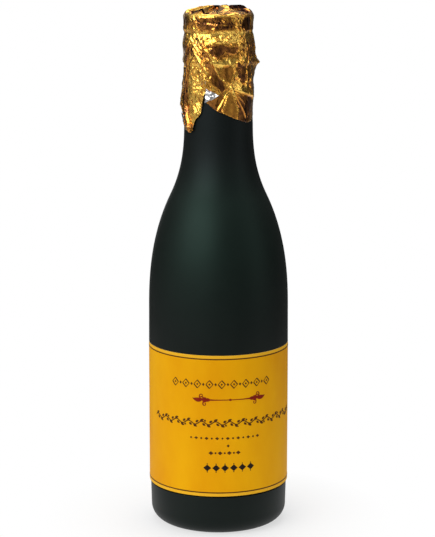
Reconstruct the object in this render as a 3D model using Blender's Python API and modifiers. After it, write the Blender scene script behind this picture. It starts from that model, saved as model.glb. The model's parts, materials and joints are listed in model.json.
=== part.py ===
"""Confetti popper shaped like a champagne bottle, fired by twisting its base.

Metres in the scene, millimetres in the named values below. +Z is up, the origin is under the
middle of the foot, and the label's middle faces -Y. Turning the base cup makes a face cam pull a
valve stem down through a cylinder of compressed air. The air then throws a wad and four charges
of confetti up the barrel and out through the foil over the mouth.
"""

import math

import bmesh
import bpy
from mathutils import Vector, noise

MM = 0.001
GAP = 0.3  # kept between pieces that rest on each other
OUTER_STEPS = 36  # sides of the shell and the cup
INNER_STEPS = 24  # sides of the pieces inside

# Bottle, outside
BODY_RADIUS = 43.0
BOTTLE_TOP = 315.0
SPLIT_HEIGHT = 25.6  # the shell's lower edge, above the cup that turns
LABEL_BOTTOM = 25.9
LABEL_TOP = 113.9
LABEL_RECESS = 0.4
LABEL_THICKNESS = 0.25
BELLY_TOP = 132.2
SHOULDER_RADIUS = 29.5  # at the inflection between belly and neck
SHOULDER_HEIGHT = 205.1
SHOULDER_SLOPE = 0.48  # radius lost for each unit of height at the inflection
NECK_RADIUS = 20.9
NECK_BOTTOM = 248.4
LIP_RADIUS = 20.1
LIP_BOTTOM = 306.2

# Bottle, inside
WALL = 2.2
MOUTH_RADIUS = 17.7
SHELL_BORE = 40.8  # below the ledge
LEDGE_RADIUS = 39.8  # above it
GROOVE_RADIUS = 41.6

# Stack of the working parts, from the foot up
PUNT_HEIGHT = 5.8
CUP_FLOOR = 8.0
STEM_BOTTOM = 13.2
YOKE_BOTTOM = 16.6
YOKE_TOP = 20.2
CAM_CONTACT = 21.3  # the cam's ribs over the middle of each lug, at rest
CAM_TOP = 25.5
RETAINER_HEIGHT = 29.0
CUP_TOP = 32.0
DECK_BOTTOM = 36.0
DECK_TOP = 38.8
LEDGE_HEIGHT = DECK_TOP + GAP
FOOT_FLANGE_TOP = 43.1
FOOT_TOP = 51.0
POPPET_BOTTOM = 104.7
HEAD_SEAT = 109.0
HEAD_FLANGE_BOTTOM = 117.3
HEAD_FLANGE_TOP = 121.5
SOCKET_TOP = 136.0
BARREL_TOP = 311.0

# Base cup and cam
CUP_RADIUS = 41.9
CUP_RIM_RADIUS = 42.3
CUP_CORNER = 9.8
CUP_WALL = 2.3
SPIGOT_RADIUS = 40.4
SPIGOT_BORE = 38.2
RETAINER_BED = 39.4
TWIST_RANGE = 60.0  # degrees
VALVE_TRAVEL = 4.0
LUG_COUNT = 3
LUG_HALF_ANGLE = 9.0
LUG_REACH = 19.0
CAM_BORE = 19.6
CAM_RADIUS = 21.8
CAM_FLANGE_RADIUS = 26.2
RIB_BORE = 13.8
SCREW_CIRCLE = 24.0

# Deck, cylinder and valve
DECK_RADIUS = 40.4
SKIRT_RADIUS = 13.2
SKIRT_BORE = 11.0
YOKE_RADIUS = 10.4
FLANGE_RADIUS = 34.0
PLUG_RADIUS = 25.0
TUBE_BORE = 25.4
TUBE_RADIUS = 27.4
OUTLET_RADIUS = 8.0
TIE_CIRCLE = 30.8
TIE_COUNT = 4
STEM_RADIUS = 2.4
STEM_END_RADIUS = 1.7
POPPET_RADIUS = 12.6
SPRING_RADIUS = 6.5
SPRING_TURNS = 9
SPRING_WIRE = 0.7
FILLER_OFFSET = 16.0

# Barrel and what it throws
BARREL_RADIUS = 17.3
BARREL_BORE = 16.1
WAD_BOTTOM = 134.2
WAD_TOP = 140.3
CHARGE_RADIUS = 15.2
CHARGE_HEIGHT = 20.7
CHARGE_COLOURS = ("red", "yellow", "blue", "green")

# Foil over the neck, with angles from its front
FOIL_FRONT = -9.4  # degrees round from the label's middle
FOIL_THICKNESS = 0.3
FOIL_EDGE = [  # height of the torn edge at each angle
    (-152, 258.0), (-120, 252.0), (-96, 259.0), (-79, 260.5), (-68, 247.0), (-57, 245.5),
    (-44, 248.0), (-40, 252.5), (-29, 257.0), (-25.5, 266.0), (-22, 270.0), (-19, 263.5),
    (-2, 258.6), (11, 256.8), (25, 254.3), (44, 251.9), (56, 250.8), (66, 255.5),
    (76, 263.0), (98, 256.0), (124, 261.0), (160, 251.5), (186, 255.0),
]
FOIL_OUTLINE = [  # plain radius at each height
    (242, 22.3), (250, 21.8), (262, 21.4), (275, 21.0), (284.5, 20.7), (287.3, 21.3),
    (291, 20.9), (298, 21.1), (304, 20.4), (306.8, 20.9), (316, 20.9),
]
FOIL_CROWN = [(20.2, 316.4), (16.0, 317.4), (10.0, 318.6), (4.5, 319.4)]  # radius, height
FOIL_PEAK = 320.2
FOIL_COLUMN_STEP = 12.0
FOIL_ROWS = 9


# Scene and materials


def clear_scene():
    """Empties the scene of objects."""
    for thing in list(bpy.data.objects):
        bpy.data.objects.remove(thing)


def collection(name):
    """A new collection under the scene's own."""
    made = bpy.data.collections.new(name)
    bpy.context.scene.collection.children.link(made)
    return made


def material(name, colour, roughness, metallic=0.0):
    """A Principled material in one colour."""
    made = bpy.data.materials.new(name)
    made.use_nodes = True
    shader = made.node_tree.nodes["Principled BSDF"]
    shader.inputs["Base Color"].default_value = (*colour, 1.0)
    shader.inputs["Roughness"].default_value = roughness
    shader.inputs["Metallic"].default_value = metallic
    return made


def make_materials():
    """Every finish of the object, by the name that the pieces use."""
    finishes = {
        "bottle_green": ((0.010, 0.017, 0.014), 0.48),
        "label_paper": ((0.76, 0.36, 0.02), 0.5),
        "gold_foil": ((0.83, 0.52, 0.10), 0.25, 1.0),
        "kraft_board": ((0.42, 0.29, 0.17), 0.85),
        "white_board": ((0.82, 0.81, 0.78), 0.8),
        "black_plastic": ((0.02, 0.02, 0.022), 0.45),
        "grey_plastic": ((0.30, 0.31, 0.32), 0.4),
        "clear_plastic": ((0.62, 0.70, 0.72), 0.15),
        "rubber": ((0.015, 0.015, 0.015), 0.7),
        "steel": ((0.56, 0.57, 0.58), 0.3, 1.0),
        "brass": ((0.72, 0.50, 0.18), 0.3, 1.0),
        "felt": ((0.55, 0.53, 0.50), 0.95),
        "tissue_red": ((0.65, 0.03, 0.04), 0.8),
        "tissue_yellow": ((0.85, 0.60, 0.04), 0.8),
        "tissue_blue": ((0.03, 0.12, 0.55), 0.8),
        "tissue_green": ((0.04, 0.38, 0.10), 0.8),
    }
    return {name: material(name, *values) for name, values in finishes.items()}


# Profiles, as lists of (radius, height)


def arc(centre, radius, start, end, steps):
    """Points along an arc, with angles in degrees from the outward direction."""
    points = []
    for i in range(steps + 1):
        angle = math.radians(start + (end - start) * i / steps)
        points.append((centre[0] + radius * math.cos(angle), centre[1] + radius * math.sin(angle)))
    return points


def bezier(a, b, c, d, steps):
    """Points along a cubic from a to d with handles b and c."""
    points = []
    for i in range(steps + 1):
        t = i / steps
        weights = ((1 - t) ** 3, 3 * (1 - t) ** 2 * t, 3 * (1 - t) * t**2, t**3)
        points.append(tuple(sum(w * p[k] for w, p in zip(weights, (a, b, c, d))) for k in (0, 1)))
    return points


def ring(inner, outer, bottom, top):
    """The profile of a plain ring."""
    return [(inner, bottom), (outer, bottom), (outer, top), (inner, top)]


def notch(radius, floor, height, half_width):
    """A square groove in a wall, run from below upwards."""
    low, high = height - half_width, height + half_width
    return [(radius, low), (floor, low), (floor, high), (radius, high)]


def shoulder(steps):
    """The bottle's ogee from belly to neck, as two cubics that meet at the inflection."""
    middle = (SHOULDER_RADIUS, SHOULDER_HEIGHT)
    belly = BODY_RADIUS - 0.1
    down, up = 27.9, 15.2  # the handles' heights at the inflection
    lower = bezier(
        (belly, BELLY_TOP), (belly, BELLY_TOP + 17.2),
        (middle[0] + SHOULDER_SLOPE * down, middle[1] - down), middle, steps,
    )
    upper = bezier(
        middle, (middle[0] - SHOULDER_SLOPE * up, middle[1] + up),
        (NECK_RADIUS, NECK_BOTTOM - 14.3), (NECK_RADIUS, NECK_BOTTOM), steps,
    )
    return lower + upper[1:]


def between(table, value):
    """Linear interpolation in a table of (value, result) pairs."""
    for (a, low), (b, high) in zip(table, table[1:]):
        if a <= value <= b:
            return low + (high - low) * (value - a) / (b - a)
    raise ValueError(f"{value} is outside the table")


# Solids


def polar(radius, degrees, height):
    """A point in metres. Angles run from -Y, the label's middle, towards +X."""
    angle = math.radians(degrees)
    return Vector((radius * math.sin(angle), -radius * math.cos(angle), height)) * MM


def add(name, data, finish, home):
    """An object with one material, linked to a collection."""
    made = bpy.data.objects.new(name, data)
    if finish is not None:
        data.materials.append(finish)
    home.objects.link(made)
    return made


def from_bmesh(name, shape, finish, home):
    """An object from a bmesh, which is freed."""
    bmesh.ops.recalc_face_normals(shape, faces=shape.faces)
    mesh = bpy.data.meshes.new(name)
    shape.to_mesh(mesh)
    shape.free()
    return add(name, mesh, finish, home)


def signed_area(outline):
    """Twice the area inside an outline, positive when it runs anticlockwise."""
    pairs = zip(outline, outline[1:] + outline[:1])
    return sum(a[0] * b[1] - b[0] * a[1] for a, b in pairs)


def turned(name, outline, finish, home, steps=INNER_STEPS):
    """A solid of revolution about Z. A profile with both ends on the axis isn't joined there."""
    outline = list(outline)
    if signed_area(outline) > 0:
        outline.reverse()
    edges = [(i, i + 1) for i in range(len(outline) - 1)]
    if outline[0][0] > 0:
        edges.append((len(outline) - 1, 0))
    mesh = bpy.data.meshes.new(name)
    mesh.from_pydata([(r * MM, 0, z * MM) for r, z in outline], edges, [])
    made = add(name, mesh, finish, home)
    screw = made.modifiers.new("turn", "SCREW")
    screw.axis = "Z"
    screw.angle = math.tau
    screw.steps = screw.render_steps = steps
    screw.use_merge_vertices = True
    screw.merge_threshold = 1e-6
    screw.use_smooth_shade = True
    return made


def cylinder(name, radius, bottom, top, finish, home, steps=12, bevel=0.0):
    """A plain cylinder about Z, with its edges chamfered by bevel."""
    shape = bmesh.new()
    size = {"radius1": radius * MM, "radius2": radius * MM, "depth": (top - bottom) * MM}
    bmesh.ops.create_cone(shape, cap_ends=True, segments=steps, **size)
    bmesh.ops.translate(shape, verts=shape.verts, vec=(0, 0, (top + bottom) / 2 * MM))
    made = from_bmesh(name, shape, finish, home)
    if bevel > 0:
        chamfer = made.modifiers.new("edges", "BEVEL")
        chamfer.width = bevel * MM
        chamfer.segments = 1
    return made


def o_ring(name, radius, thickness, height, finish, home):
    """A rubber ring of round section."""
    size = {"major_radius": radius * MM, "minor_radius": thickness / 2 * MM}
    bpy.ops.mesh.primitive_torus_add(
        location=(0, 0, height * MM), major_segments=INNER_STEPS, minor_segments=6, **size
    )
    return adopt(name, finish, home)


def adopt(name, finish, home):
    """Names the primitive just added, gives it its material and moves it to a collection."""
    made = bpy.context.object
    made.name = name
    for owner in list(made.users_collection):
        owner.objects.unlink(made)
    home.objects.link(made)
    if finish is not None:
        made.data.materials.append(finish)
    made.data.shade_smooth()
    return made


def open_ring(name, inner, outer, bottom, top, opening, finish, home, steps):
    """A flat ring with an opening at the back, as a filled 2D curve with an extrusion."""
    half = (360 - opening) / 2
    turns = [-half + 2 * half * i / steps for i in range(steps + 1)]
    outline = [polar(outer, turn, 0) for turn in turns]
    outline += [polar(inner, turn, 0) for turn in reversed(turns)]
    curve = bpy.data.curves.new(name, "CURVE")
    curve.dimensions = "2D"
    curve.fill_mode = "BOTH"
    curve.extrude = (top - bottom) / 2 * MM
    spline = curve.splines.new("POLY")
    spline.points.add(len(outline) - 1)
    for point, place in zip(spline.points, outline):
        point.co = (place.x, place.y, 0, 1)
    spline.use_cyclic_u = True
    made = add(name, curve, finish, home)
    made.location.z = (top + bottom) / 2 * MM
    return made


def wire(name, path, radius, finish, home):
    """A round wire along a path of points in metres."""
    curve = bpy.data.curves.new(name, "CURVE")
    curve.dimensions = "3D"
    curve.bevel_depth = radius * MM
    curve.bevel_resolution = 1
    curve.use_fill_caps = True
    spline = curve.splines.new("POLY")
    spline.points.add(len(path) - 1)
    for point, place in zip(spline.points, path):
        point.co = (*place, 1)
    return add(name, curve, finish, home)


def helical_block(name, inner, outer, bottom, top, first, last, home, steps):
    """A block swept about Z from one angle to another, climbing at the cam's pitch.

    Its heights are those at angle zero, and it is built for the first lug.
    """
    climb = VALVE_TRAVEL / TWIST_RANGE
    shape = bmesh.new()
    corners = [polar(r, first, z + climb * first) for r, z in ring(inner, outer, bottom, top)]
    section = shape.faces.new([shape.verts.new(corner) for corner in corners])
    sweep = {"axis": (0, 0, 1), "cent": (0, 0, 0), "angle": math.radians(last - first), "steps": steps}
    bmesh.ops.spin(shape, geom=[section], dvec=(0, 0, climb * (last - first) / steps * MM), **sweep)
    return from_bmesh(name, shape, None, home)


def on_circle(things, radius, start):
    """Spaces things evenly on a circle about Z, the first at the start angle."""
    for i, thing in enumerate(things):
        thing.location = polar(radius, start + 360 * i / len(things), 0)
    return things


def round_z(things):
    """Turns things that were all built at the front to even angles about Z."""
    for i, thing in enumerate(things):
        thing.rotation_euler.z = math.tau * i / len(things)
    return things


def combine(target, others, operation):
    """Cuts the other objects from the target or joins them to it."""
    for other in others:
        other.hide_render = True
        other.display_type = "WIRE"
        modifier = target.modifiers.new(f"{operation.lower()} {other.name}", "BOOLEAN")
        modifier.operation = operation
        modifier.solver = "EXACT"
        modifier.object = other


def drill(target, radius, bottom, top, circle, count, start, home):
    """Cuts round holes on a circle through a target."""
    names = [f"{target.name} hole {radius} {i + 1}" for i in range(count)]
    holes = [cylinder(name, radius, bottom, top, None, home) for name in names]
    combine(target, on_circle(holes, circle, start), "DIFFERENCE")


def hexagon_nut(name, half_width, bore, bottom, top, finish, home, helpers):
    """A hexagon nut about Z."""
    corner_radius = half_width / math.cos(math.pi / 6)
    made = cylinder(name, corner_radius, bottom, top, finish, home, steps=6)
    hole = cylinder(f"{name} bore", bore, bottom - 1, top + 1, None, helpers)
    combine(made, [hole], "DIFFERENCE")
    return made


# Outside of the bottle


def bottle_shell(finish, home):
    """The moulded bottle, open below, with grooves for the rings that hold the base and deck."""
    recessed = BODY_RADIUS - LABEL_RECESS
    outside = [(recessed, SPLIT_HEIGHT), (recessed, LABEL_TOP + 0.1), (BODY_RADIUS, LABEL_TOP + 0.5)]
    outside += shoulder(6)
    outside += [(20.0, 272.0), (19.4, 283.8), (19.7, 287.2), (19.3, 290.6), (19.2, 304.4)]
    outside += [(LIP_RADIUS, LIP_BOTTOM), (LIP_RADIUS, BOTTLE_TOP - 1.6), (19.4, BOTTLE_TOP - 0.3)]
    inside = [(18.6, BOTTLE_TOP), (MOUTH_RADIUS + 0.3, BOTTLE_TOP), (MOUTH_RADIUS, BOTTLE_TOP - 0.4)]
    inside += [(MOUTH_RADIUS, 285.0), (NECK_RADIUS - WALL, 262.0)]
    inside += [(r - WALL, z - 0.4 * WALL) for r, z in reversed(shoulder(3))]
    inside += [(LEDGE_RADIUS, BELLY_TOP - 12), (LEDGE_RADIUS, LEDGE_HEIGHT), (SHELL_BORE, LEDGE_HEIGHT)]
    inside += reversed(notch(SHELL_BORE, GROOVE_RADIUS, DECK_BOTTOM - 0.9, 0.9))
    inside += reversed(notch(SHELL_BORE, GROOVE_RADIUS, RETAINER_HEIGHT, 1.2))
    inside += [(SHELL_BORE, SPLIT_HEIGHT)]
    return turned("bottle_shell", outside + inside, finish, home, OUTER_STEPS)


def wrap_label(finish, home):
    """The paper label in the shell's shallow recess, its seam at the back."""
    inner = BODY_RADIUS - LABEL_RECESS + GAP
    outer = inner + LABEL_THICKNESS
    return open_ring("wrap_label", inner, outer, LABEL_BOTTOM, LABEL_TOP, 2, finish, home, 48)


def foil_edge_height(turn):
    """Height of the torn edge at an angle from the foil's front."""
    around = [(a + whole, z) for whole in (-360, 0, 360) for a, z in FOIL_EDGE]
    return between(around, turn)


def foil_radius(turn, height):
    """The crumpled foil's outer radius: plain outline, small folds and two pulled-out corners."""
    angle = math.radians(turn)
    place = Vector((5.5 * math.cos(angle), 5.5 * math.sin(angle), height * 0.22))
    folds = 0.42 * abs(noise.noise(place)) + 0.22 * abs(noise.noise(place * 2.3))
    right_corner = 3.0 * math.exp(-(((turn - 88) / 13) ** 2) - ((height - 286) / 7) ** 2)
    left_corner = 1.2 * math.exp(-(((turn + 79) / 14) ** 2) - ((height - 263) / 8) ** 2)
    return between(FOIL_OUTLINE, height) + folds + right_corner + left_corner


def foil_rows(columns):
    """Rows of (angle, radius, height) from the torn edge up and over the mouth."""
    top = BOTTLE_TOP + 0.1
    bottoms = [foil_edge_height(turn) for turn in columns]
    rows = []
    for i in range(FOIL_ROWS + 1):
        heights = [bottom + (top - bottom) * i / FOIL_ROWS for bottom in bottoms]
        rows.append([(turn, foil_radius(turn, z), z) for turn, z in zip(columns, heights)])
    for radius, height in FOIL_CROWN:
        bumps = [noise.noise(polar(radius * 350, turn, 1050)) for turn in columns]
        rows.append([(turn, radius, height + 0.9 * bump) for turn, bump in zip(columns, bumps)])
    return rows


def neck_foil(finish, home):
    """One thin sheet wrapped round the neck and gathered over the mouth, its lower edge torn."""
    torn = [turn if turn < 180 else turn - 360 for turn, _ in FOIL_EDGE]
    regular = [-180 + FOIL_COLUMN_STEP * i for i in range(round(360 / FOIL_COLUMN_STEP))]
    columns = sorted(torn + [a for a in regular if all(abs(a - b) > 3 for b in torn)])
    shape = bmesh.new()
    rows = []
    for row in foil_rows(columns):
        rows.append([shape.verts.new(polar(r, turn + FOIL_FRONT, z)) for turn, r, z in row])
    peak = shape.verts.new((0, 0, FOIL_PEAK * MM))
    for k in range(len(columns)):
        n = (k + 1) % len(columns)
        for low, high in zip(rows, rows[1:]):
            shape.faces.new((low[k], low[n], high[n], high[k]))
        shape.faces.new((rows[-1][k], rows[-1][n], peak))
    made = from_bmesh("neck_foil", shape, finish, home)
    sheet = made.modifiers.new("sheet", "SOLIDIFY")
    sheet.thickness = FOIL_THICKNESS * MM
    sheet.offset = -1
    return made


def closure_disc(finish, home):
    """The thin disc under the foil that holds the confetti until the shot bursts it."""
    bottom = BARREL_TOP + GAP
    return cylinder("closure_disc", MOUTH_RADIUS - GAP, bottom, bottom + 1, finish, home, INNER_STEPS)


# Base cup and cam


def base_cup(finish, home, helpers):
    """The cup that is gripped and turned: a round corner below and a spigot inside the shell."""
    corner = (CUP_RADIUS - CUP_CORNER, CUP_CORNER)
    outline = [(0, PUNT_HEIGHT), (27.2, PUNT_HEIGHT), (27.9, 5.1), (28.6, 0.6), (29.2, 0)]
    outline += arc(corner, CUP_CORNER, -90, 0, 5)
    outline += [(CUP_RIM_RADIUS, 24.7), (CUP_RIM_RADIUS - 0.3, 25.0), (SPIGOT_RADIUS, 25.0)]
    outline += notch(SPIGOT_RADIUS, RETAINER_BED, RETAINER_HEIGHT, 1.2)
    outline += [(SPIGOT_RADIUS, CUP_TOP - 0.4), (SPIGOT_RADIUS - 0.4, CUP_TOP), (SPIGOT_BORE, CUP_TOP)]
    outline += [(SPIGOT_BORE, 24.8), (CUP_RIM_RADIUS - CUP_WALL - 0.2, 22.6)]
    outline += arc(corner, CUP_CORNER - CUP_WALL, 0, -90, 3)
    outline += [(30.6, 3.0), (29.6, CUP_FLOOR - 0.6), (29.0, CUP_FLOOR), (0, CUP_FLOOR)]
    made = turned("base_cup", outline, finish, home, OUTER_STEPS)
    drill(made, 1.55, PUNT_HEIGHT - 1, CUP_FLOOR + 1, SCREW_CIRCLE, LUG_COUNT, 30, helpers)
    return made


def cam_ring(finish, home, helpers):
    """The ring fixed in the cup, with a helical rib over each lug that takes it down."""
    bottom = CUP_FLOOR + GAP
    outline = [(CAM_BORE, bottom), (CAM_FLANGE_RADIUS, bottom), (CAM_FLANGE_RADIUS, bottom + 2)]
    outline += [(CAM_RADIUS, bottom + 2), (CAM_RADIUS, CAM_TOP), (CAM_BORE, CAM_TOP)]
    made = turned("cam_ring", outline, finish, home)
    past = LUG_HALF_ANGLE + 4
    rib = (RIB_BORE, CAM_BORE + 0.8, CAM_CONTACT, CAM_CONTACT + 3, -TWIST_RANGE - past, past)
    ribs = [helical_block(f"cam rib {i + 1}", *rib, helpers, 8) for i in range(LUG_COUNT)]
    combine(made, round_z(ribs), "UNION")
    names = [f"cam boss {i + 1}" for i in range(LUG_COUNT)]
    bosses = [cylinder(name, 2.2, bottom + 0.5, 14.0, None, helpers) for name in names]
    combine(made, on_circle(bosses, SCREW_CIRCLE, 30), "UNION")
    drill(made, 1.5, bottom - 1, 13.0, SCREW_CIRCLE, LUG_COUNT, 30, helpers)
    return made


def cam_screws(finish, home):
    """Three pan-head screws, driven from the punt through the floor into the cam's bosses."""
    seat = PUNT_HEIGHT - GAP
    outline = [(0, 12.4), (1.2, 12.4), (1.2, seat), (2.6, seat), (2.6, 4.6), (2.0, 3.9), (1.1, 3.9)]
    outline += [(1.1, 4.9), (0, 4.9)]
    names = [f"cam_screw_{i + 1}" for i in range(LUG_COUNT)]
    return on_circle([turned(name, outline, finish, home, 12) for name in names], SCREW_CIRCLE, 30)


def base_retaining_ring(finish, home):
    """The split wire ring that lies half in the cup's groove and half in the shell's."""
    path = [polar(40.5, -172 + 344 * i / 36, RETAINER_HEIGHT) for i in range(37)]
    return wire("base_retaining_ring", path, 0.8, finish, home)


# Deck and valve train


def deck(finish, home, helpers):
    """The plate under the cylinder, with a slotted skirt that keeps the yoke from turning."""
    outline = [(3.2, DECK_TOP), (DECK_RADIUS, DECK_TOP), (DECK_RADIUS, DECK_BOTTOM)]
    outline += [(SKIRT_RADIUS, DECK_BOTTOM), (SKIRT_RADIUS, 9.0), (SKIRT_BORE, 9.0)]
    outline += [(SKIRT_BORE, DECK_BOTTOM - 2.5), (7.0, DECK_BOTTOM), (3.2, DECK_BOTTOM)]
    made = turned("deck", outline, finish, home)
    slot_width = 2 * SKIRT_RADIUS * math.sin(math.radians(LUG_HALF_ANGLE)) + 2 * GAP
    slots = []
    for i in range(LUG_COUNT):
        turn = 360 / LUG_COUNT * i
        bpy.ops.mesh.primitive_cube_add(size=1, location=polar(12.0, turn, 17.0))
        slot = adopt(f"deck slot {i + 1}", None, helpers)
        slot.scale = (slot_width * MM, 7 * MM, 20 * MM)
        slot.rotation_euler.z = math.radians(turn)
        slots.append(slot)
    combine(made, slots, "DIFFERENCE")
    drill(made, 1.9, DECK_BOTTOM - 1, DECK_TOP + 1, TIE_CIRCLE, TIE_COUNT, 45, helpers)
    return made


def deck_circlip(finish, home):
    """The flat spring ring in the shell's upper groove, which holds the deck up to the ledge."""
    top = DECK_BOTTOM - GAP
    return open_ring("deck_circlip", 38.4, GROOVE_RADIUS - GAP, top - 1.2, top, 16, finish, home, 32)


def yoke(finish, home, helpers):
    """The three-armed follower on the stem. Its lugs reach through the skirt, under the ribs."""
    hub = ring(STEM_END_RADIUS + GAP, YOKE_RADIUS, YOKE_BOTTOM, YOKE_TOP)
    made = turned("yoke", hub, finish, home)
    lug_top = CAM_CONTACT - GAP
    lug = (YOKE_RADIUS - 0.8, LUG_REACH, lug_top - 3.6, lug_top, -LUG_HALF_ANGLE, LUG_HALF_ANGLE)
    lugs = [helical_block(f"yoke lug {i + 1}", *lug, helpers, 4) for i in range(LUG_COUNT)]
    combine(made, round_z(lugs), "UNION")
    return made


def stem_nut(finish, home, helpers):
    """The nut that clamps the yoke against the step in the stem."""
    top = YOKE_BOTTOM - GAP
    bore = STEM_END_RADIUS + GAP
    return hexagon_nut("stem_nut", 4.0, bore, top - 2.3, top, finish, home, helpers)


def valve_stem(finish, home):
    """The stem and its poppet head, which the air and the spring press up to the head's seat."""
    top = HEAD_SEAT - 1
    step = YOKE_TOP + GAP
    outline = [(0, top), (9.3, top), (9.3, top - 1.1), (11.5, top - 1.1), (11.5, top), (12.3, top)]
    outline += [(POPPET_RADIUS, top - 0.4), (POPPET_RADIUS, 105.4), (11.4, POPPET_BOTTOM)]
    outline += [(3.4, POPPET_BOTTOM), (STEM_RADIUS, POPPET_BOTTOM - 1.5), (STEM_RADIUS, step)]
    outline += [(STEM_END_RADIUS, step), (STEM_END_RADIUS, STEM_BOTTOM), (0, STEM_BOTTOM)]
    return turned("valve_stem", outline, finish, home)


def valve_spring(finish, home):
    """The compression spring round the stem, its turns closer together at both ends."""
    low = FOOT_TOP + GAP + SPRING_WIRE
    high = POPPET_BOTTOM - GAP - SPRING_WIRE
    steps = SPRING_TURNS * 8
    path = []
    for i in range(steps + 1):
        share = i / steps
        climb = share - 0.6 * math.sin(math.tau * share) / math.tau
        path.append(polar(SPRING_RADIUS, 360 * SPRING_TURNS * share, low + (high - low) * climb))
    least = min((a - b).length for i, a in enumerate(path) for b in path[i + 4:]) / MM - 2 * SPRING_WIRE
    print(f"valve_spring: least gap between turns {least:.2f} mm")
    return wire("valve_spring", path, SPRING_WIRE, finish, home)


# Cylinder


def cylinder_foot(finish, home, helpers):
    """The lower end plug, with the stem's gland and the filling hole."""
    bore = STEM_RADIUS + 0.4
    outline = [(bore, LEDGE_HEIGHT), (FLANGE_RADIUS, LEDGE_HEIGHT), (FLANGE_RADIUS, FOOT_FLANGE_TOP)]
    outline += [(PLUG_RADIUS, FOOT_FLANGE_TOP), *notch(PLUG_RADIUS, 23.6, 47.7, 0.9)]
    outline += [(PLUG_RADIUS, FOOT_TOP - 0.6), (PLUG_RADIUS - 0.6, FOOT_TOP), (bore, FOOT_TOP)]
    outline += reversed(notch(bore, 4.6, 47.1, 1.1))
    made = turned("cylinder_foot", outline, finish, home)
    drill(made, 1.9, LEDGE_HEIGHT - 1, FOOT_FLANGE_TOP + 1, TIE_CIRCLE, TIE_COUNT, 45, helpers)
    drill(made, 3.0, LEDGE_HEIGHT - 1, FOOT_TOP + 1, FILLER_OFFSET, 1, 180, helpers)
    return made


def fill_grommet(finish, home):
    """The rubber mushroom valve in the filling hole."""
    seat = FOOT_TOP + GAP
    outline = [(0, seat + 2.1), (3.2, seat + 1.7), (4.6, seat + 0.6), (4.6, seat), (2.6, seat)]
    outline += [(2.6, LEDGE_HEIGHT + 1), (0, LEDGE_HEIGHT + 1)]
    made = turned("fill_grommet", outline, finish, home, steps=16)
    return on_circle([made], FILLER_OFFSET, 180)[0]


def cylinder_tube(finish, home):
    """The pressure tube between the two end plugs."""
    outline = ring(TUBE_BORE, TUBE_RADIUS, FOOT_FLANGE_TOP + GAP, HEAD_FLANGE_BOTTOM - GAP)
    return turned("cylinder_tube", outline, finish, home)


def cylinder_head(finish, home, helpers):
    """The upper end plug: the valve's seat below, the outlet, and the barrel's socket above."""
    socket = BARREL_RADIUS + 0.4
    outline = [(OUTLET_RADIUS, HEAD_SEAT), (PLUG_RADIUS - 0.6, HEAD_SEAT), (PLUG_RADIUS, HEAD_SEAT + 0.6)]
    outline += [*notch(PLUG_RADIUS, 23.6, 112.3, 0.9), (PLUG_RADIUS, HEAD_FLANGE_BOTTOM)]
    outline += [(FLANGE_RADIUS, HEAD_FLANGE_BOTTOM), (FLANGE_RADIUS, HEAD_FLANGE_TOP)]
    outline += [(socket + 3.1, HEAD_FLANGE_TOP), (socket + 2.5, SOCKET_TOP), (socket, SOCKET_TOP)]
    outline += [(socket, HEAD_FLANGE_TOP), (OUTLET_RADIUS, HEAD_FLANGE_TOP)]
    made = turned("cylinder_head", outline, finish, home)
    bottom = HEAD_FLANGE_BOTTOM - 1
    drill(made, 1.9, bottom, HEAD_FLANGE_TOP + 1, TIE_CIRCLE, TIE_COUNT, 45, helpers)
    return made


def tie_bolts(finish, home):
    """Four long bolts that clamp the deck, foot, tube and head together."""
    seat = DECK_BOTTOM - GAP
    outline = [(0, 125.6), (1.5, 125.6), (1.5, seat), (2.8, seat), (2.8, seat - 2.3), (0, seat - 2.3)]
    names = [f"tie_bolt_{i + 1}" for i in range(TIE_COUNT)]
    return on_circle([turned(name, outline, finish, home, 12) for name in names], TIE_CIRCLE, 45)


def tie_nuts(finish, home, helpers):
    """The nuts on the tie bolts."""
    bottom = HEAD_FLANGE_TOP + GAP
    size = (2.75, 1.8, bottom, bottom + 2.4)
    names = [f"tie_nut_{i + 1}" for i in range(TIE_COUNT)]
    nuts = [hexagon_nut(name, *size, finish, home, helpers) for name in names]
    bores = [nut.modifiers[0].object for nut in nuts]
    on_circle(bores, TIE_CIRCLE, 45)
    return on_circle(nuts, TIE_CIRCLE, 45)


# Barrel and charge


def barrel_tube(finish, home):
    """The straight board tube from the cylinder head to the mouth."""
    outline = ring(BARREL_BORE, BARREL_RADIUS, HEAD_FLANGE_TOP + GAP, BARREL_TOP)
    return turned("barrel_tube", outline, finish, home)


def obturator(finish, home):
    """The plastic cup that the air pushes on, with its skirt down."""
    top, bottom = WAD_BOTTOM - GAP, HEAD_FLANGE_TOP + 0.6
    outline = [(0, top), (15.2, top), (15.7, top - 0.5), (15.7, bottom), (14.7, bottom)]
    outline += [(14.4, top - 2.9), (0, top - 2.9)]
    return turned("obturator", outline, finish, home)


def confetti_charge(number, finish, home):
    """One stacked packet of tissue confetti, counted from the wad up."""
    bottom = WAD_TOP + GAP + (number - 1) * (CHARGE_HEIGHT + GAP)
    top = bottom + CHARGE_HEIGHT
    name = f"confetti_charge_{number}"
    return cylinder(name, CHARGE_RADIUS, bottom, top, finish, home, INNER_STEPS, bevel=0.8)


# Assembly


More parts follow.
